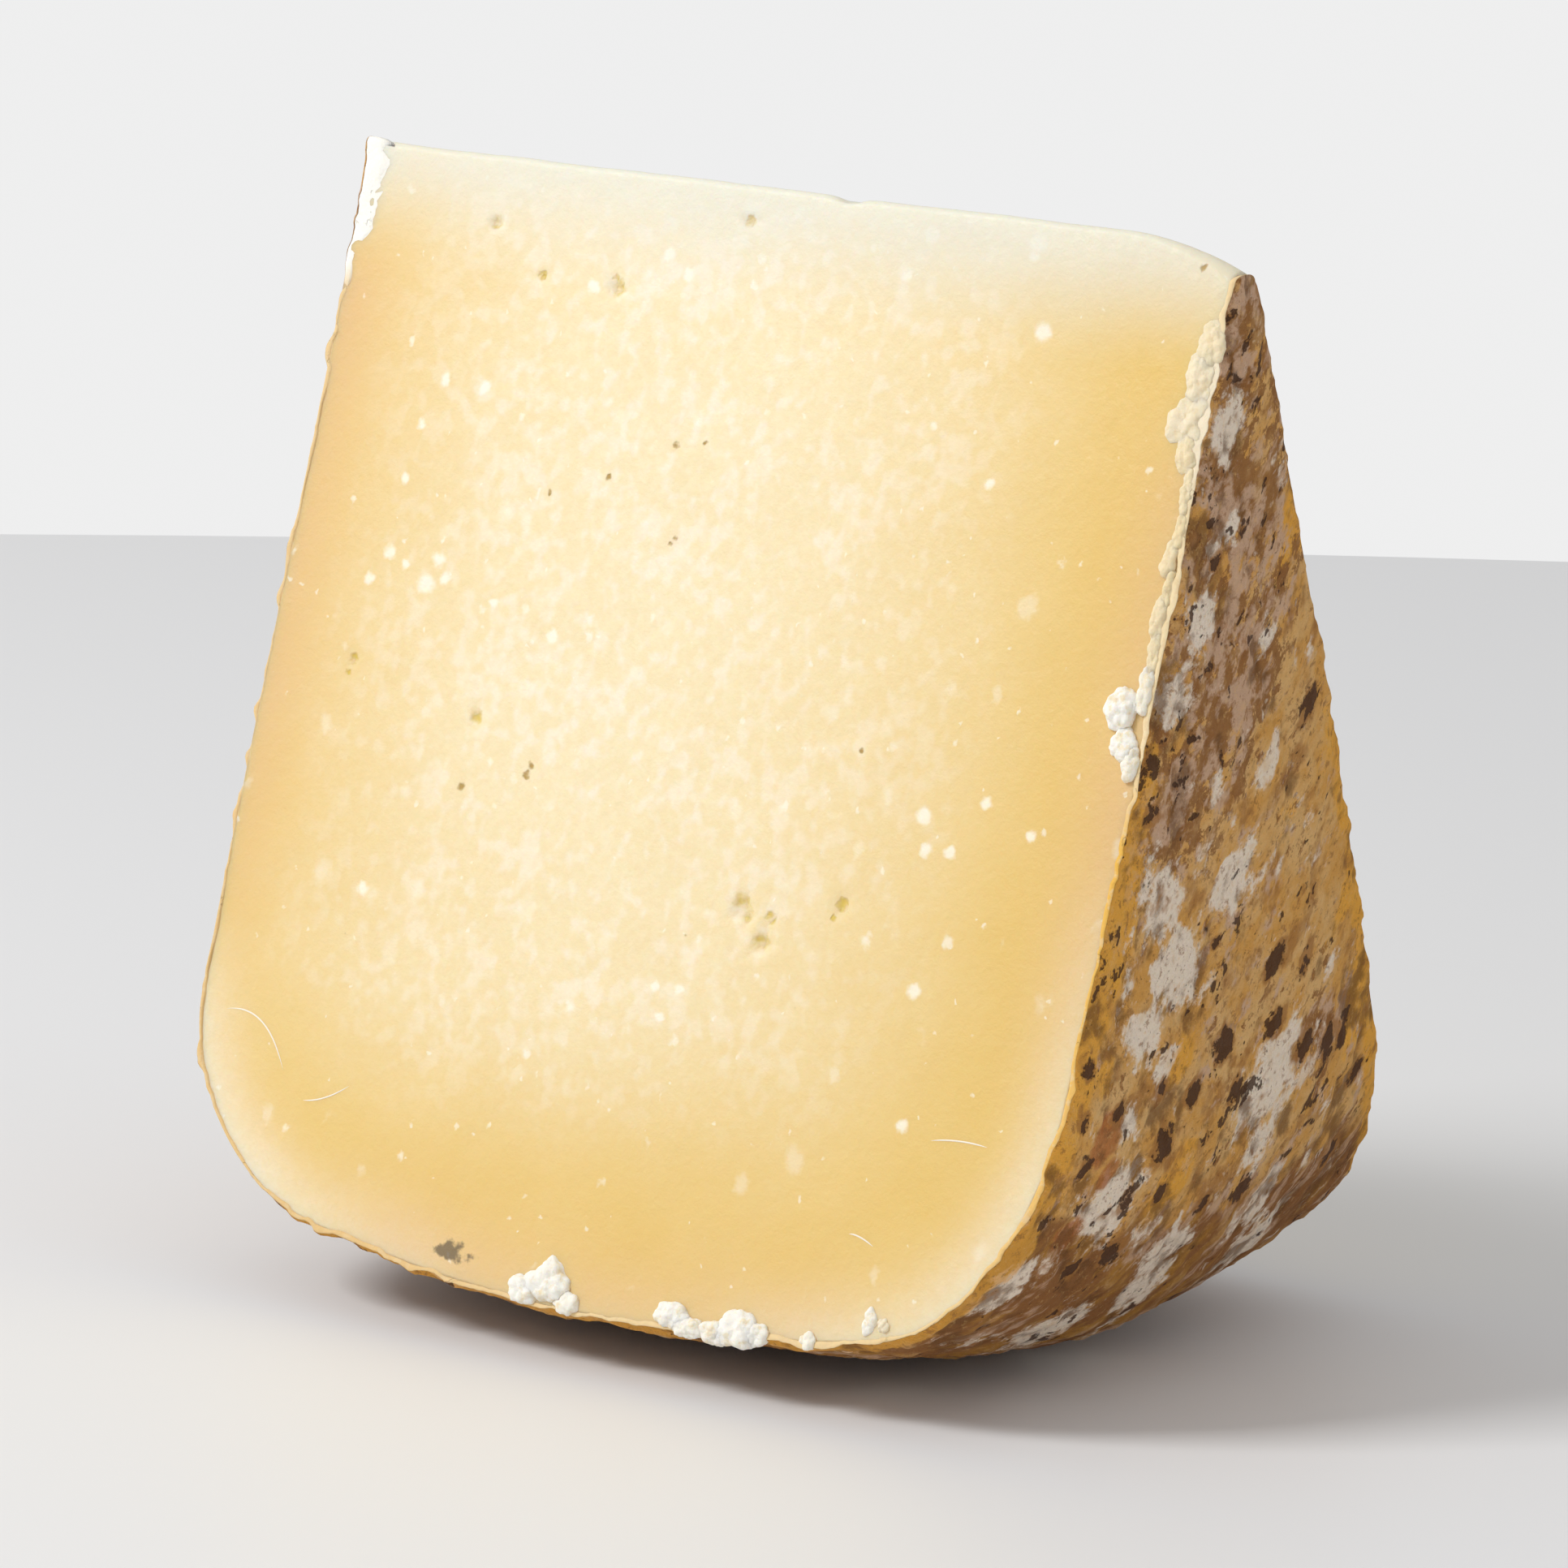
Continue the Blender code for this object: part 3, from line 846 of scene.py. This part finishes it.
def around(tree, *parts):
    """A sum of noises, each less 0.5, so that it lies around zero, and times its own weight."""
    total = 0.0
    for value, weight in parts:
        total = calc(tree, "ADD", total, times(tree, calc(tree, "SUBTRACT", value, 0.5), weight))
    return total


def broken(tree, name, *parts):
    """A painted share plus noises around zero, so that its border breaks up."""
    return calc(tree, "ADD", field(tree, name), around(tree, *parts))


def moved(tree, where, steps, stretch):
    """Places squeezed by stretch along each axis, then moved by these steps."""
    made = tree.nodes.new("ShaderNodeMapping")
    made.inputs["Location"].default_value = steps
    made.inputs["Scale"].default_value = stretch
    tree.links.new(where, made.inputs["Vector"])
    return made.outputs["Vector"]


def cloud(tree, size, detail=3.0, roughness=0.55, shift=0.0, stretch=(1, 1, 1), where=None):
    """Noise whose waves are about `size` long, moved aside by shift and squeezed by stretch."""
    made = tree.nodes.new("ShaderNodeTexNoise")
    made.inputs["Scale"].default_value = 1 / size
    made.inputs["Detail"].default_value = detail
    made.inputs["Roughness"].default_value = roughness
    there = moved(tree, where or own_place(tree), (shift, shift * 0.7, -shift), stretch)
    tree.links.new(there, made.inputs["Vector"])
    return made.outputs["Fac"]


def shaken(tree, where, size, reach):
    """Places moved up to half of reach each way by noise of this size, to make outlines ragged."""
    shake = tree.nodes.new("ShaderNodeTexNoise")
    shake.inputs["Scale"].default_value = 1 / size
    tree.links.new(where, shake.inputs["Vector"])
    centred = vector_calc(tree, "SUBTRACT", shake.outputs["Color"], (0.5, 0.5, 0.5))
    return vector_calc(tree, "ADD", where, vector_calc(tree, "MULTIPLY", centred, (reach,) * 3))


def soft_step(tree, value, start, end, low=0.0, high=1.0):
    """low before start, high after end, eased in between."""
    made = tree.nodes.new("ShaderNodeMapRange")
    made.interpolation_type = "SMOOTHSTEP"
    for name, given in (("Value", value), ("From Min", start), ("From Max", end),
                        ("To Min", low), ("To Max", high)):
        feed(tree, made.inputs[name], given)
    return made.outputs["Result"]


def blend_colour(tree, share, under, over):
    """The colour `under` where share is 0 and `over` where it is 1."""
    made = tree.nodes.new("ShaderNodeMix")
    made.data_type = "RGBA"
    feed(tree, made.inputs[0], share)
    for socket, colour in ((made.inputs[6], under), (made.inputs[7], over)):
        feed(tree, socket, (*colour, 1.0) if isinstance(colour, tuple) else colour)
    return made.outputs[2]


def layer(tree, under, over, value, start, end, most=1.0):
    """A colour laid over another: not at all where value is at start, `most` of it past end."""
    return blend_colour(tree, soft_step(tree, value, start, end, 0.0, most), under, over)


def raise_by(tree, height, distance, strength=1.0):
    """A bump whose white stands `distance` proud of its black."""
    made = tree.nodes.new("ShaderNodeBump")
    made.inputs["Strength"].default_value = strength
    made.inputs["Distance"].default_value = distance
    feed(tree, made.inputs["Height"], height)
    return made.outputs["Normal"]


def new_material(name, specular=0.5, scatter=0.0, radius=(1.0, 0.2, 0.1), scale=0.05):
    """A Principled material into which a share of the light sinks, each colour by radius * scale."""
    made = bpy.data.materials.new(name)
    made.use_nodes = True
    shader = made.node_tree.nodes["Principled BSDF"]
    shader.inputs["Specular IOR Level"].default_value = specular
    shader.inputs["Subsurface Weight"].default_value = scatter
    shader.inputs["Subsurface Radius"].default_value = radius
    shader.inputs["Subsurface Scale"].default_value = scale
    return made, made.node_tree, shader

# %% [markdown]
# ## The paste's finish
#
# Ripe paste is ivory in the middle and golden towards the rind, with a peach tint right beside it. Light
# sinks a few millimetres into it, which is what the shader's subsurface part does. The surface shows fine
# curd grain, tiny white crystals of amino acid and calcium, brown-yellow eyes, and tiny pits whose dark
# brown is partly their own colour and partly painted shade. The tip is so thin that light passes through
# it; that paler, greyer light is painted into the colour there, by height.

# %% Paste material
IVORY = (0.91, 0.79, 0.535)
PALE = (0.945, 0.86, 0.725)
GOLD = (0.79, 0.55, 0.175)
PEACH = (0.75, 0.475, 0.25)
# Painted light: the paler, greyer colour of light passing through the thin tip.
PAINTED_TIP_LIGHT = (0.78, 0.765, 0.655)
EYE = (0.70, 0.51, 0.07)
# Partly painted shade: the tiny pits' dark brown, for their own colour and the shade inside them.
SHADED_PIT_BROWN = (0.42, 0.25, 0.04)
CRYSTAL = (0.985, 0.94, 0.82)
GREY_MOULD = (0.16, 0.12, 0.07)
CRYSTALS = [(-42.7, 45.8, 0.9), (-40.2, 46.8, 0.7), (-36.0, 45.8, 1.0), (-37.1, 48.6, 1.3),
            (-34.8, 47.6, 0.9), (-44.7, 48.9, 0.8), (-40.0, 26.5, 0.75), (-34.6, 26.9, 0.9),
            (-41.9, 31.7, 0.7), (-42.7, 37.8, 0.7), (-27.6, 49.5, 0.7), (-19.0, 52.0, 0.9),
            (32.5, 64.1, 1.1), (33.6, 67.6, 0.9), (36.6, 67.4, 0.8), (39.8, 61.9, 0.8),
            (46.0, 64.4, 0.8), (3.7, 86.3, 0.7), (6.6, 86.3, 0.7), (4.9, 89.4, 0.7), (35.7, 82.0, 1.0),
            (37.5, 95.7, 0.9), (-36.9, 81.8, 0.9), (-4.7, 4.2, 1.3), (1.5, 4.0, 0.8), (18.8, 4.7, 1.1),
            (32.2, 4.0, 1.3), (32.0, 5.6, 0.8), (34.9, 13.3, 1.2), (16.7, 9.2, 0.9), (32.1, 29.4, 0.7),
            (-23.0, 14.6, 0.9), (-14.0, 10.0, 0.9), (-11.0, 12.0, 0.8)]


def folded_place(tree):
    """The point's place, with the back cut turned about onto the front: (-x, -y) where y > 0."""
    here = parts_of(tree, own_place(tree))
    to_front = times(tree, calc(tree, "SIGN", here["Y"]), -1.0)
    joined = tree.nodes.new("ShaderNodeCombineXYZ")
    feed(tree, joined.inputs["X"], times(tree, here["X"], to_front))
    feed(tree, joined.inputs["Y"], times(tree, here["Y"], to_front))
    feed(tree, joined.inputs["Z"], here["Z"])
    return joined.outputs[0]


def grains(tree, where, size, radius, share, shift):
    """1 in the middle of scattered grains: one to a cell of this size, in a share of the cells."""
    made = tree.nodes.new("ShaderNodeTexVoronoi")
    made.inputs["Scale"].default_value = 1 / size
    ragged = shaken(tree, where, size * 0.3, size * 0.25)
    there = moved(tree, ragged, (shift, -shift, shift * 1.3), (1, 1, 0.8))
    tree.links.new(there, made.inputs["Vector"])
    lot = tree.nodes.new("ShaderNodeSeparateColor")
    tree.links.new(made.outputs["Color"], lot.inputs["Color"])
    reach = times(tree, calc(tree, "ADD", lot.outputs["Green"], 0.5), radius / size)
    inside = soft_step(tree, calc(tree, "DIVIDE", made.outputs["Distance"], reach), 1.0, 0.35)
    return times(tree, inside, calc(tree, "LESS_THAN", lot.outputs["Red"], share))


def nearness(tree, where, marks, edge=1.25):
    """1 inside the nearest of the marks on the cut, 0 past `edge` times its size, soft in between."""
    nearest = 0.0
    for centre, size in zip(*on_cut(marks, 1)):
        apart = tree.nodes.new("ShaderNodeVectorMath")
        apart.operation = "DISTANCE"
        tree.links.new(where, apart.inputs[0])
        apart.inputs[1].default_value = centre
        inside = soft_step(tree, apart.outputs["Value"], size * edge, size * 0.4)
        nearest = calc(tree, "MAXIMUM", nearest, inside)
    return nearest


def paste_colour(tree):
    """Ivory to gold, peach and a painted glow of light through the edges by their shares, with cloudy
    curd over it.
    """
    broad = around(tree, (cloud(tree, 0.013), 0.30))
    gold = calc(tree, "ADD", field(tree, "gold"), broad, True)
    colour = blend_colour(tree, gold, IVORY, GOLD)
    colour = blend_colour(tree, times(tree, field(tree, "peach"), 0.92), colour, PEACH)
    # Painted light: a pale glow near the rind stands in for light shining through the paste.
    colour = blend_colour(tree, times(tree, field(tree, "painted_glow"), 0.72), colour, PALE)
    thick = around(tree, (cloud(tree, 0.011, 3.0, 0.5, 0.7), 0.5))
    curd = calc(tree, "ADD", cloud(tree, 0.0019, 1.2, 0.5, 0.1, (1, 1, 0.85)), thick)
    where_pale = calc(tree, "SUBTRACT", 0.66, times(tree, gold, 0.85), True)
    curd_share = times(tree, soft_step(tree, curd, 0.44, 0.68), where_pale)
    colour = blend_colour(tree, curd_share, colour, PALE)
    return layer(tree, colour, GOLD, cloud(tree, 0.0011, 2.0, 0.6, 0.6), 0.35, 0.65, 0.13)


def paste_crystals(tree, where, colour):
    """Soft cloudy grains, then crystals of two sizes, then the larger ones in their own places."""
    for size, radius, share, strength, shift in (
            (0.0062, 0.00105, 0.6, 0.26, 0.0),
            (0.0044, 0.00058, 0.5, 0.55, 0.5),
            (0.0021, 0.00026, 0.5, 0.5, 0.9)):
        here = grains(tree, where, size, radius, share, shift)
        colour = blend_colour(tree, times(tree, here, strength), colour, CRYSTAL)
    placed = nearness(tree, where, CRYSTALS, 1.15)
    return blend_colour(tree, times(tree, placed, 0.72), colour, CRYSTAL)


def paste_material():
    """The whole finish: curd and crystals, painted light through the thin tip, eyes, pits darkened partly
    with painted shade, mould, then a fine grain.
    """
    made, tree, shader = new_material("paste", 0.3, 0.4, (1.0, 0.6, 0.3), 0.003)
    ragged = shaken(tree, folded_place(tree), 0.0011, 0.0011)
    colour = paste_crystals(tree, ragged, paste_colour(tree))
    height = parts_of(tree, own_place(tree))["Z"]
    wavy = calc(tree, "ADD", height, times(tree, cloud(tree, 0.02, 2.0), 0.005))
    # Painted light: the thin tip is coloured paler and greyer by height, for light passing through it.
    colour = layer(tree, colour, PAINTED_TIP_LIGHT, wavy, high_corner[2] - 0.0115, high_corner[2] + 0.0045, 0.95)
    eyes = nearness(tree, ragged, EYES)
    pits = nearness(tree, ragged, PITS)
    colour = blend_colour(tree, times(tree, eyes, 0.85), colour, EYE)
    # Partly painted shade: the tiny pits are coloured dark brown for the shade inside them as well as
    # their own colour.
    colour = blend_colour(tree, times(tree, pits, 0.85), colour, SHADED_PIT_BROWN)
    grey = broken(tree, "mould", (cloud(tree, 0.0011), 1.5))
    feed(tree, shader.inputs["Base Color"], layer(tree, colour, GREY_MOULD, grey, 0.35, 0.75, 0.85))
    gloss = soft_step(tree, cloud(tree, 0.0012, 2.0), 0.3, 0.7, 0.42, 0.62)
    feed(tree, shader.inputs["Roughness"], gloss)
    streaks = times(tree, cloud(tree, 0.0009, 2.0, 0.5, 0.2, (1, 1, 0.12)), 0.5)
    hollows = times(tree, calc(tree, "MAXIMUM", eyes, pits), -1.6)
    grain = calc(tree, "ADD", cloud(tree, 0.0008, 3.0, 0.6), calc(tree, "ADD", streaks, hollows))
    feed(tree, shader.inputs["Normal"], raise_by(tree, grain, 0.00015, 0.7))
    return made


paste.data.materials.append(paste_material())
print("paste material", len(paste.data.materials[0].node_tree.nodes), "nodes")

# %% [markdown]
# ## The rind's finish
#
# A flat rind is ochre and tan, with brown mottle and dusty mauve over it. The heel is darker and
# streaked; its darkness is partly its own colour and partly painted shade for its underside. Over both
# lie chalky bloom, rust, and amber beside the cuts; painted shade darkens the hollows of the relief and a
# painted tan highlight lightens its crests, and a fine grit and dark spots come last. The patterns read
# the `flow` attribute, so they stretch the way the wheel was brushed. The rims show the rind's inside:
# orange-brown, white with mould at the tip on the left, and torn cream paste on the upper right. Nothing
# on it shines.

# %% Rind material
OCHRE = (0.75, 0.38, 0.092)
TAN = (0.82, 0.50, 0.20)
AMBER_RIND = (0.88, 0.43, 0.065)
BROWN_RIND = (0.31, 0.13, 0.038)
# Painted shade: the deep brown laid in the hollows of the relief.
PAINTED_HOLLOW_SHADE = (0.17, 0.072, 0.02)
MAUVE = (0.70, 0.455, 0.30)
CHALK = (0.99, 0.84, 0.68)
SHADED_HEEL_TAN = (0.46, 0.215, 0.04)
HALO = (0.42, 0.185, 0.05)
DARK_BROWN = (0.075, 0.028, 0.009)
RUST_RED = (0.50, 0.17, 0.045)
ORANGE = (0.84, 0.48, 0.08)
CREAM = (0.87, 0.70, 0.43)
WHITE_MOULD = (0.98, 0.94, 0.85)
CUT_BROWN = (0.70, 0.46, 0.21)
BRUSH = (0.62, 1, 1)
STREAK = (0.26, 1, 1)
SPOT_STRETCH = (0.75, 1, 1)


def brushed(tree, size, detail=4.0, roughness=0.62, shift=0.0, stretch=BRUSH):
    """A cloud on the places along and across the brushing, stretched along it."""
    flow_at = tree.nodes.new("ShaderNodeAttribute")
    flow_at.attribute_name = "flow"
    return cloud(tree, size, detail, roughness, shift, stretch, flow_at.outputs["Vector"])


def flat_rind_colour(tree, medium, fine):
    """Ochre and tan, amber near the cuts, brown mottle with dusty mauve on top of it."""
    slow = brushed(tree, 0.016, 3.0, 0.5, 0.4)
    blotch = brushed(tree, 0.0023, shift=1.3)
    wide = brushed(tree, 0.011, 3.0, 0.5, 1.9)
    amber = broken(tree, "golden", (medium, 2.4), (slow, 1.6))
    stain = around(tree, (brushed(tree, 0.0042, 4.0, 0.6, 5.2), 1.0), (fine, 0.35))
    brown = broken(tree, "brown", (fine, 3.2), (medium, 3.0))
    dusty = calc(tree, "ADD", times(tree, field(tree, "brown"), 0.17),
                 around(tree, (blotch, 1.0), (wide, 0.5)))
    colour = layer(tree, OCHRE, TAN, medium, 0.40, 0.60)
    colour = layer(tree, colour, AMBER_RIND, amber, 0.25, 0.65)
    colour = layer(tree, colour, HALO, stain, 0.02, 0.16, 0.75)
    colour = layer(tree, colour, BROWN_RIND, brown, 0.42, 0.62, 0.88)
    return layer(tree, colour, MAUVE, dusty, 0.07, 0.19, 0.9)


def heel_colour(tree):
    """Streaks along the brushing: brown, then tan, then dusty mauve; the tan is partly its own colour and
    partly painted shade.
    """
    broad = brushed(tree, 0.0042, 4.0, 0.6, 0.5, STREAK)
    narrow = brushed(tree, 0.0030, 4.0, 0.62, 2.5, STREAK)
    # Partly painted shade: the heel's tan is darkened for the shade under the heel.
    colour = layer(tree, BROWN_RIND, SHADED_HEEL_TAN, broad, 0.49, 0.59)
    return layer(tree, colour, MAUVE, narrow, 0.53, 0.61, 0.7)


def rind_colour(tree):
    """The flat rind's colour or the heel's, then bloom, rust, amber, painted shade in hollows, a painted
    highlight on crests, and grit.
    """
    medium = brushed(tree, 0.0050, 5.0, 0.62, 0.2)
    fine = brushed(tree, 0.0017, 5.0, 0.70, 0.7)
    heel = soft_step(tree, broken(tree, "heel", (medium, 1.6)), 0.3, 0.7)
    colour = blend_colour(tree, heel, flat_rind_colour(tree, medium, fine), heel_colour(tree))
    bloom = broken(tree, "bloom", (brushed(tree, 0.0034, shift=0.9), 2.4), (fine, 1.6))
    rust = broken(tree, "rust", (medium, 2.2))
    edge = broken(tree, "golden", (medium, 2.6), (fine, 0.8))
    relief = broken(tree, "height", (fine, 0.9))
    grit = brushed(tree, 0.0010, 4.0, 0.72, 0.35, SPOT_STRETCH)
    colour = layer(tree, colour, CHALK, bloom, 0.26, 0.62, 0.95)
    colour = layer(tree, colour, RUST_RED, rust, 0.35, 0.7, 0.85)
    colour = layer(tree, colour, AMBER_RIND, edge, 0.50, 0.85, 0.75)
    # Painted shade darkens the hollows of the relief, and a painted tan highlight lightens its crests.
    colour = layer(tree, colour, PAINTED_HOLLOW_SHADE, relief, 0.44, 0.10, 0.72)
    colour = layer(tree, colour, TAN, relief, 0.66, 1.0, 0.35)
    colour = layer(tree, colour, BROWN_RIND, grit, 0.54, 0.64, 0.6)
    return layer(tree, colour, TAN, grit, 0.44, 0.36, 0.3)


def dark_spots(tree):
    """1 inside the dark spots: those in their own places, and specks where two noises are high."""
    ragged = brushed(tree, 0.0017, 4.0, 0.66, 0.0, SPOT_STRETCH)
    spots = soft_step(tree, broken(tree, "dark", (ragged, 2.6)), 0.45, 0.62)
    small, wide = brushed(tree, 0.0016, 3.0, 0.6, 3.3), brushed(tree, 0.007, 2.0, 0.5, 4.1)
    specks = calc(tree, "ADD", times(tree, field(tree, "brown"), 0.04),
                  around(tree, (small, 1.0), (wide, 0.5)))
    return calc(tree, "MAXIMUM", spots, soft_step(tree, specks, 0.17, 0.215))


def rim_colour(tree):
    """Orange-brown, cream or white by their shares, with tan pits."""
    pits = soft_step(tree, cloud(tree, 0.0013, 4.0, 0.65), 0.50, 0.62)
    colour = blend_colour(tree, field(tree, "orange"), CUT_BROWN, ORANGE)
    colour = blend_colour(tree, times(tree, pits, 0.5), colour, CREAM)
    colour = blend_colour(tree, field(tree, "cream"), colour, CREAM)
    colour = blend_colour(tree, times(tree, pits, 0.3), colour, CUT_BROWN)
    return blend_colour(tree, field(tree, "white"), colour, WHITE_MOULD)


def rind_material():
    """The whole finish of the rind: its colour, spots with a halo, the rims, and a bumpy crust."""
    made, tree, shader = new_material("rind", 0.25, 0.1, (1.0, 0.5, 0.2), 0.001)
    spots = dark_spots(tree)
    halo = broken(tree, "dark", (brushed(tree, 0.0030, 3.0, 0.6), 2.2))
    rim_share = soft_step(tree, broken(tree, "rim", (cloud(tree, 0.0015), 0.8)), 0.35, 0.65)
    colour = layer(tree, rind_colour(tree), HALO, halo, 0.16, 0.50, 0.8)
    colour = blend_colour(tree, times(tree, spots, 0.9), colour, DARK_BROWN)
    colour = blend_colour(tree, rim_share, colour, rim_colour(tree))
    feed(tree, shader.inputs["Base Color"], colour)
    feed(tree, shader.inputs["Roughness"], soft_step(tree, spots, 0.0, 1.0, 0.88, 0.72))
    bumps = brushed(tree, 0.0013, 5.0, 0.72, 0.0, (0.6, 1, 1))
    crust = calc(tree, "ADD", bumps, times(tree, spots, -0.5))
    smoother = calc(tree, "SUBTRACT", 1.0, times(tree, rim_share, 0.8))
    feed(tree, shader.inputs["Normal"], raise_by(tree, times(tree, crust, smoother), 0.0011))
    return made


rind.data.materials.append(rind_material())
print("rind material", len(rind.data.materials[0].node_tree.nodes), "nodes")

# %% [markdown]
# ## The finish of mould and hairs
#
# The mould is matt white, with cream on the crumbs and in patches where a fine noise is high. The hairs
# are dried curd and take a paler, shinier colour.

# %% Mould and hair materials
def mould_material():
    """White, with cream on the crumbs and where a fine noise is high."""
    made, tree, shader = new_material("mould", 0.2, 0.3, (1.0, 0.7, 0.4), 0.001)
    colour = blend_colour(tree, field(tree, "cream"), WHITE_MOULD, CREAM)
    colour = layer(tree, colour, CREAM, cloud(tree, 0.0012, 4.0, 0.65), 0.5, 0.68, 0.7)
    feed(tree, shader.inputs["Base Color"], colour)
    shader.inputs["Roughness"].default_value = 0.9
    feed(tree, shader.inputs["Normal"], raise_by(tree, cloud(tree, 0.0004, 4.0, 0.7), 0.0002, 0.8))
    return made


def hair_material():
    """Pale dried curd, slightly mottled along its length."""
    made, tree, shader = new_material("hair")
    feed(tree, shader.inputs["Base Color"], blend_colour(tree, cloud(tree, 0.003, 2.0), PALE, CRYSTAL))
    gloss = soft_step(tree, cloud(tree, 0.001, 2.0), 0.3, 0.7, 0.45, 0.6)
    feed(tree, shader.inputs["Roughness"], gloss)
    return made


mould.data.materials.append(mould_material())
hairs.data.materials.append(hair_material())

# %% [markdown]
# ## Floor, light and camera
#
# The floor is a plain pale disc that ends a little behind the wedge, so that its rim is a level
# horizon. A soft lamp high on the left models the cheese, a weak one on the right lifts the rind,
# and an even grey surround fills the rest; more lamps would give crossing shadows. Rays straight
# from the camera see the surround paler, as a white wall. The camera stands far off with a long
# lens, so that the wedge keeps its true proportions.

# %% Floor
FLOOR_RADIUS = 2.0
FLOOR_BEHIND = 0.458
FLOOR_SIDES = 256
FLOOR_WHITE = (0.82, 0.82, 0.825, 1)
VIEW_AZIMUTH = math.radians(36.58)

sight = Vector((math.sin(VIEW_AZIMUTH), -math.cos(VIEW_AZIMUTH), 0.0))
floor_middle = sight * (FLOOR_RADIUS - FLOOR_BEHIND)
ring = np.linspace(0, 2 * math.pi, FLOOR_SIDES, endpoint=False)
floor_points = np.stack([floor_middle.x + FLOOR_RADIUS * np.cos(ring),
                         floor_middle.y + FLOOR_RADIUS * np.sin(ring), 0 * ring], axis=-1)
floor_mesh = bpy.data.meshes.new("floor")
floor_mesh.from_pydata(floor_points.tolist(), [], [list(range(FLOOR_SIDES))])
floor = add_object("floor", floor_mesh)
floor_finish, _, floor_shader = new_material("floor")
floor_shader.inputs["Base Color"].default_value = FLOOR_WHITE
floor_shader.inputs["Roughness"].default_value = 0.5
floor_mesh.materials.append(floor_finish)

# %% Light
WALL_GREY = 0.86
SURROUND_GREY = 0.55
LAMP_DISTANCE = 1.3
LAMPS_FACE = Vector((0, 0, 0.06))

world = bpy.data.worlds.new("studio")
world.use_nodes = True
backdrop = world.node_tree.nodes["Background"]
seen = world.node_tree.nodes.new("ShaderNodeLightPath")
grey = world.node_tree.nodes.new("ShaderNodeMapRange")
grey.inputs["To Min"].default_value = SURROUND_GREY
grey.inputs["To Max"].default_value = WALL_GREY
world.node_tree.links.new(seen.outputs["Is Camera Ray"], grey.inputs["Value"])
world.node_tree.links.new(grey.outputs["Result"], backdrop.inputs["Strength"])
backdrop.inputs["Color"].default_value = (1.0, 1.0, 1.0, 1)
bpy.context.scene.world = world


def soft_light(name, towards, size, power):
    """A square lamp at LAMP_DISTANCE along a direction, facing the wedge."""
    lamp = bpy.data.lights.new(name, "AREA")
    lamp.shape = "SQUARE"
    lamp.size = size
    lamp.energy = power
    holder = add_object(name, lamp)
    direction = towards.normalized()
    holder.location = direction * LAMP_DISTANCE + LAMPS_FACE
    holder.rotation_euler = direction.to_track_quat("Z", "Y").to_euler()


across_view = Vector((math.cos(VIEW_AZIMUTH), math.sin(VIEW_AZIMUTH), 0.0))
soft_light("key", -0.85 * across_view + 0.22 * sight + Vector((0, 0, 0.8)), 0.4, 10.5)
soft_light("fill", 0.95 * across_view + 0.6 * sight + Vector((0, 0, 0.22)), 0.6, 1.0)

# %% Camera
VIEW_ELEVATION = math.radians(11.705)
VIEW_DISTANCE = 0.9362
VIEW_ROLL = math.radians(1.01)
VIEW_LENS = 202.6
VIEW_TARGET = Vector((0.0004, -0.0007, 0.0562))

back = sight * math.cos(VIEW_ELEVATION) + Vector((0, 0, math.sin(VIEW_ELEVATION)))
level_up = back.cross(across_view)
right = across_view * math.cos(VIEW_ROLL) + level_up * math.sin(VIEW_ROLL)
up = level_up * math.cos(VIEW_ROLL) - across_view * math.sin(VIEW_ROLL)
lens = bpy.data.cameras.new("view")
lens.lens = VIEW_LENS
lens.sensor_width = 36
lens.clip_start = 0.01
camera = add_object("view", lens)
turned = Matrix((right, up, back)).transposed().to_4x4()
camera.matrix_world = Matrix.Translation(VIEW_TARGET + back * VIEW_DISTANCE) @ turned
bpy.context.scene.camera = camera
bpy.context.scene.view_settings.view_transform = "Standard"
print("camera at", [round(c, 3) for c in camera.matrix_world.translation])
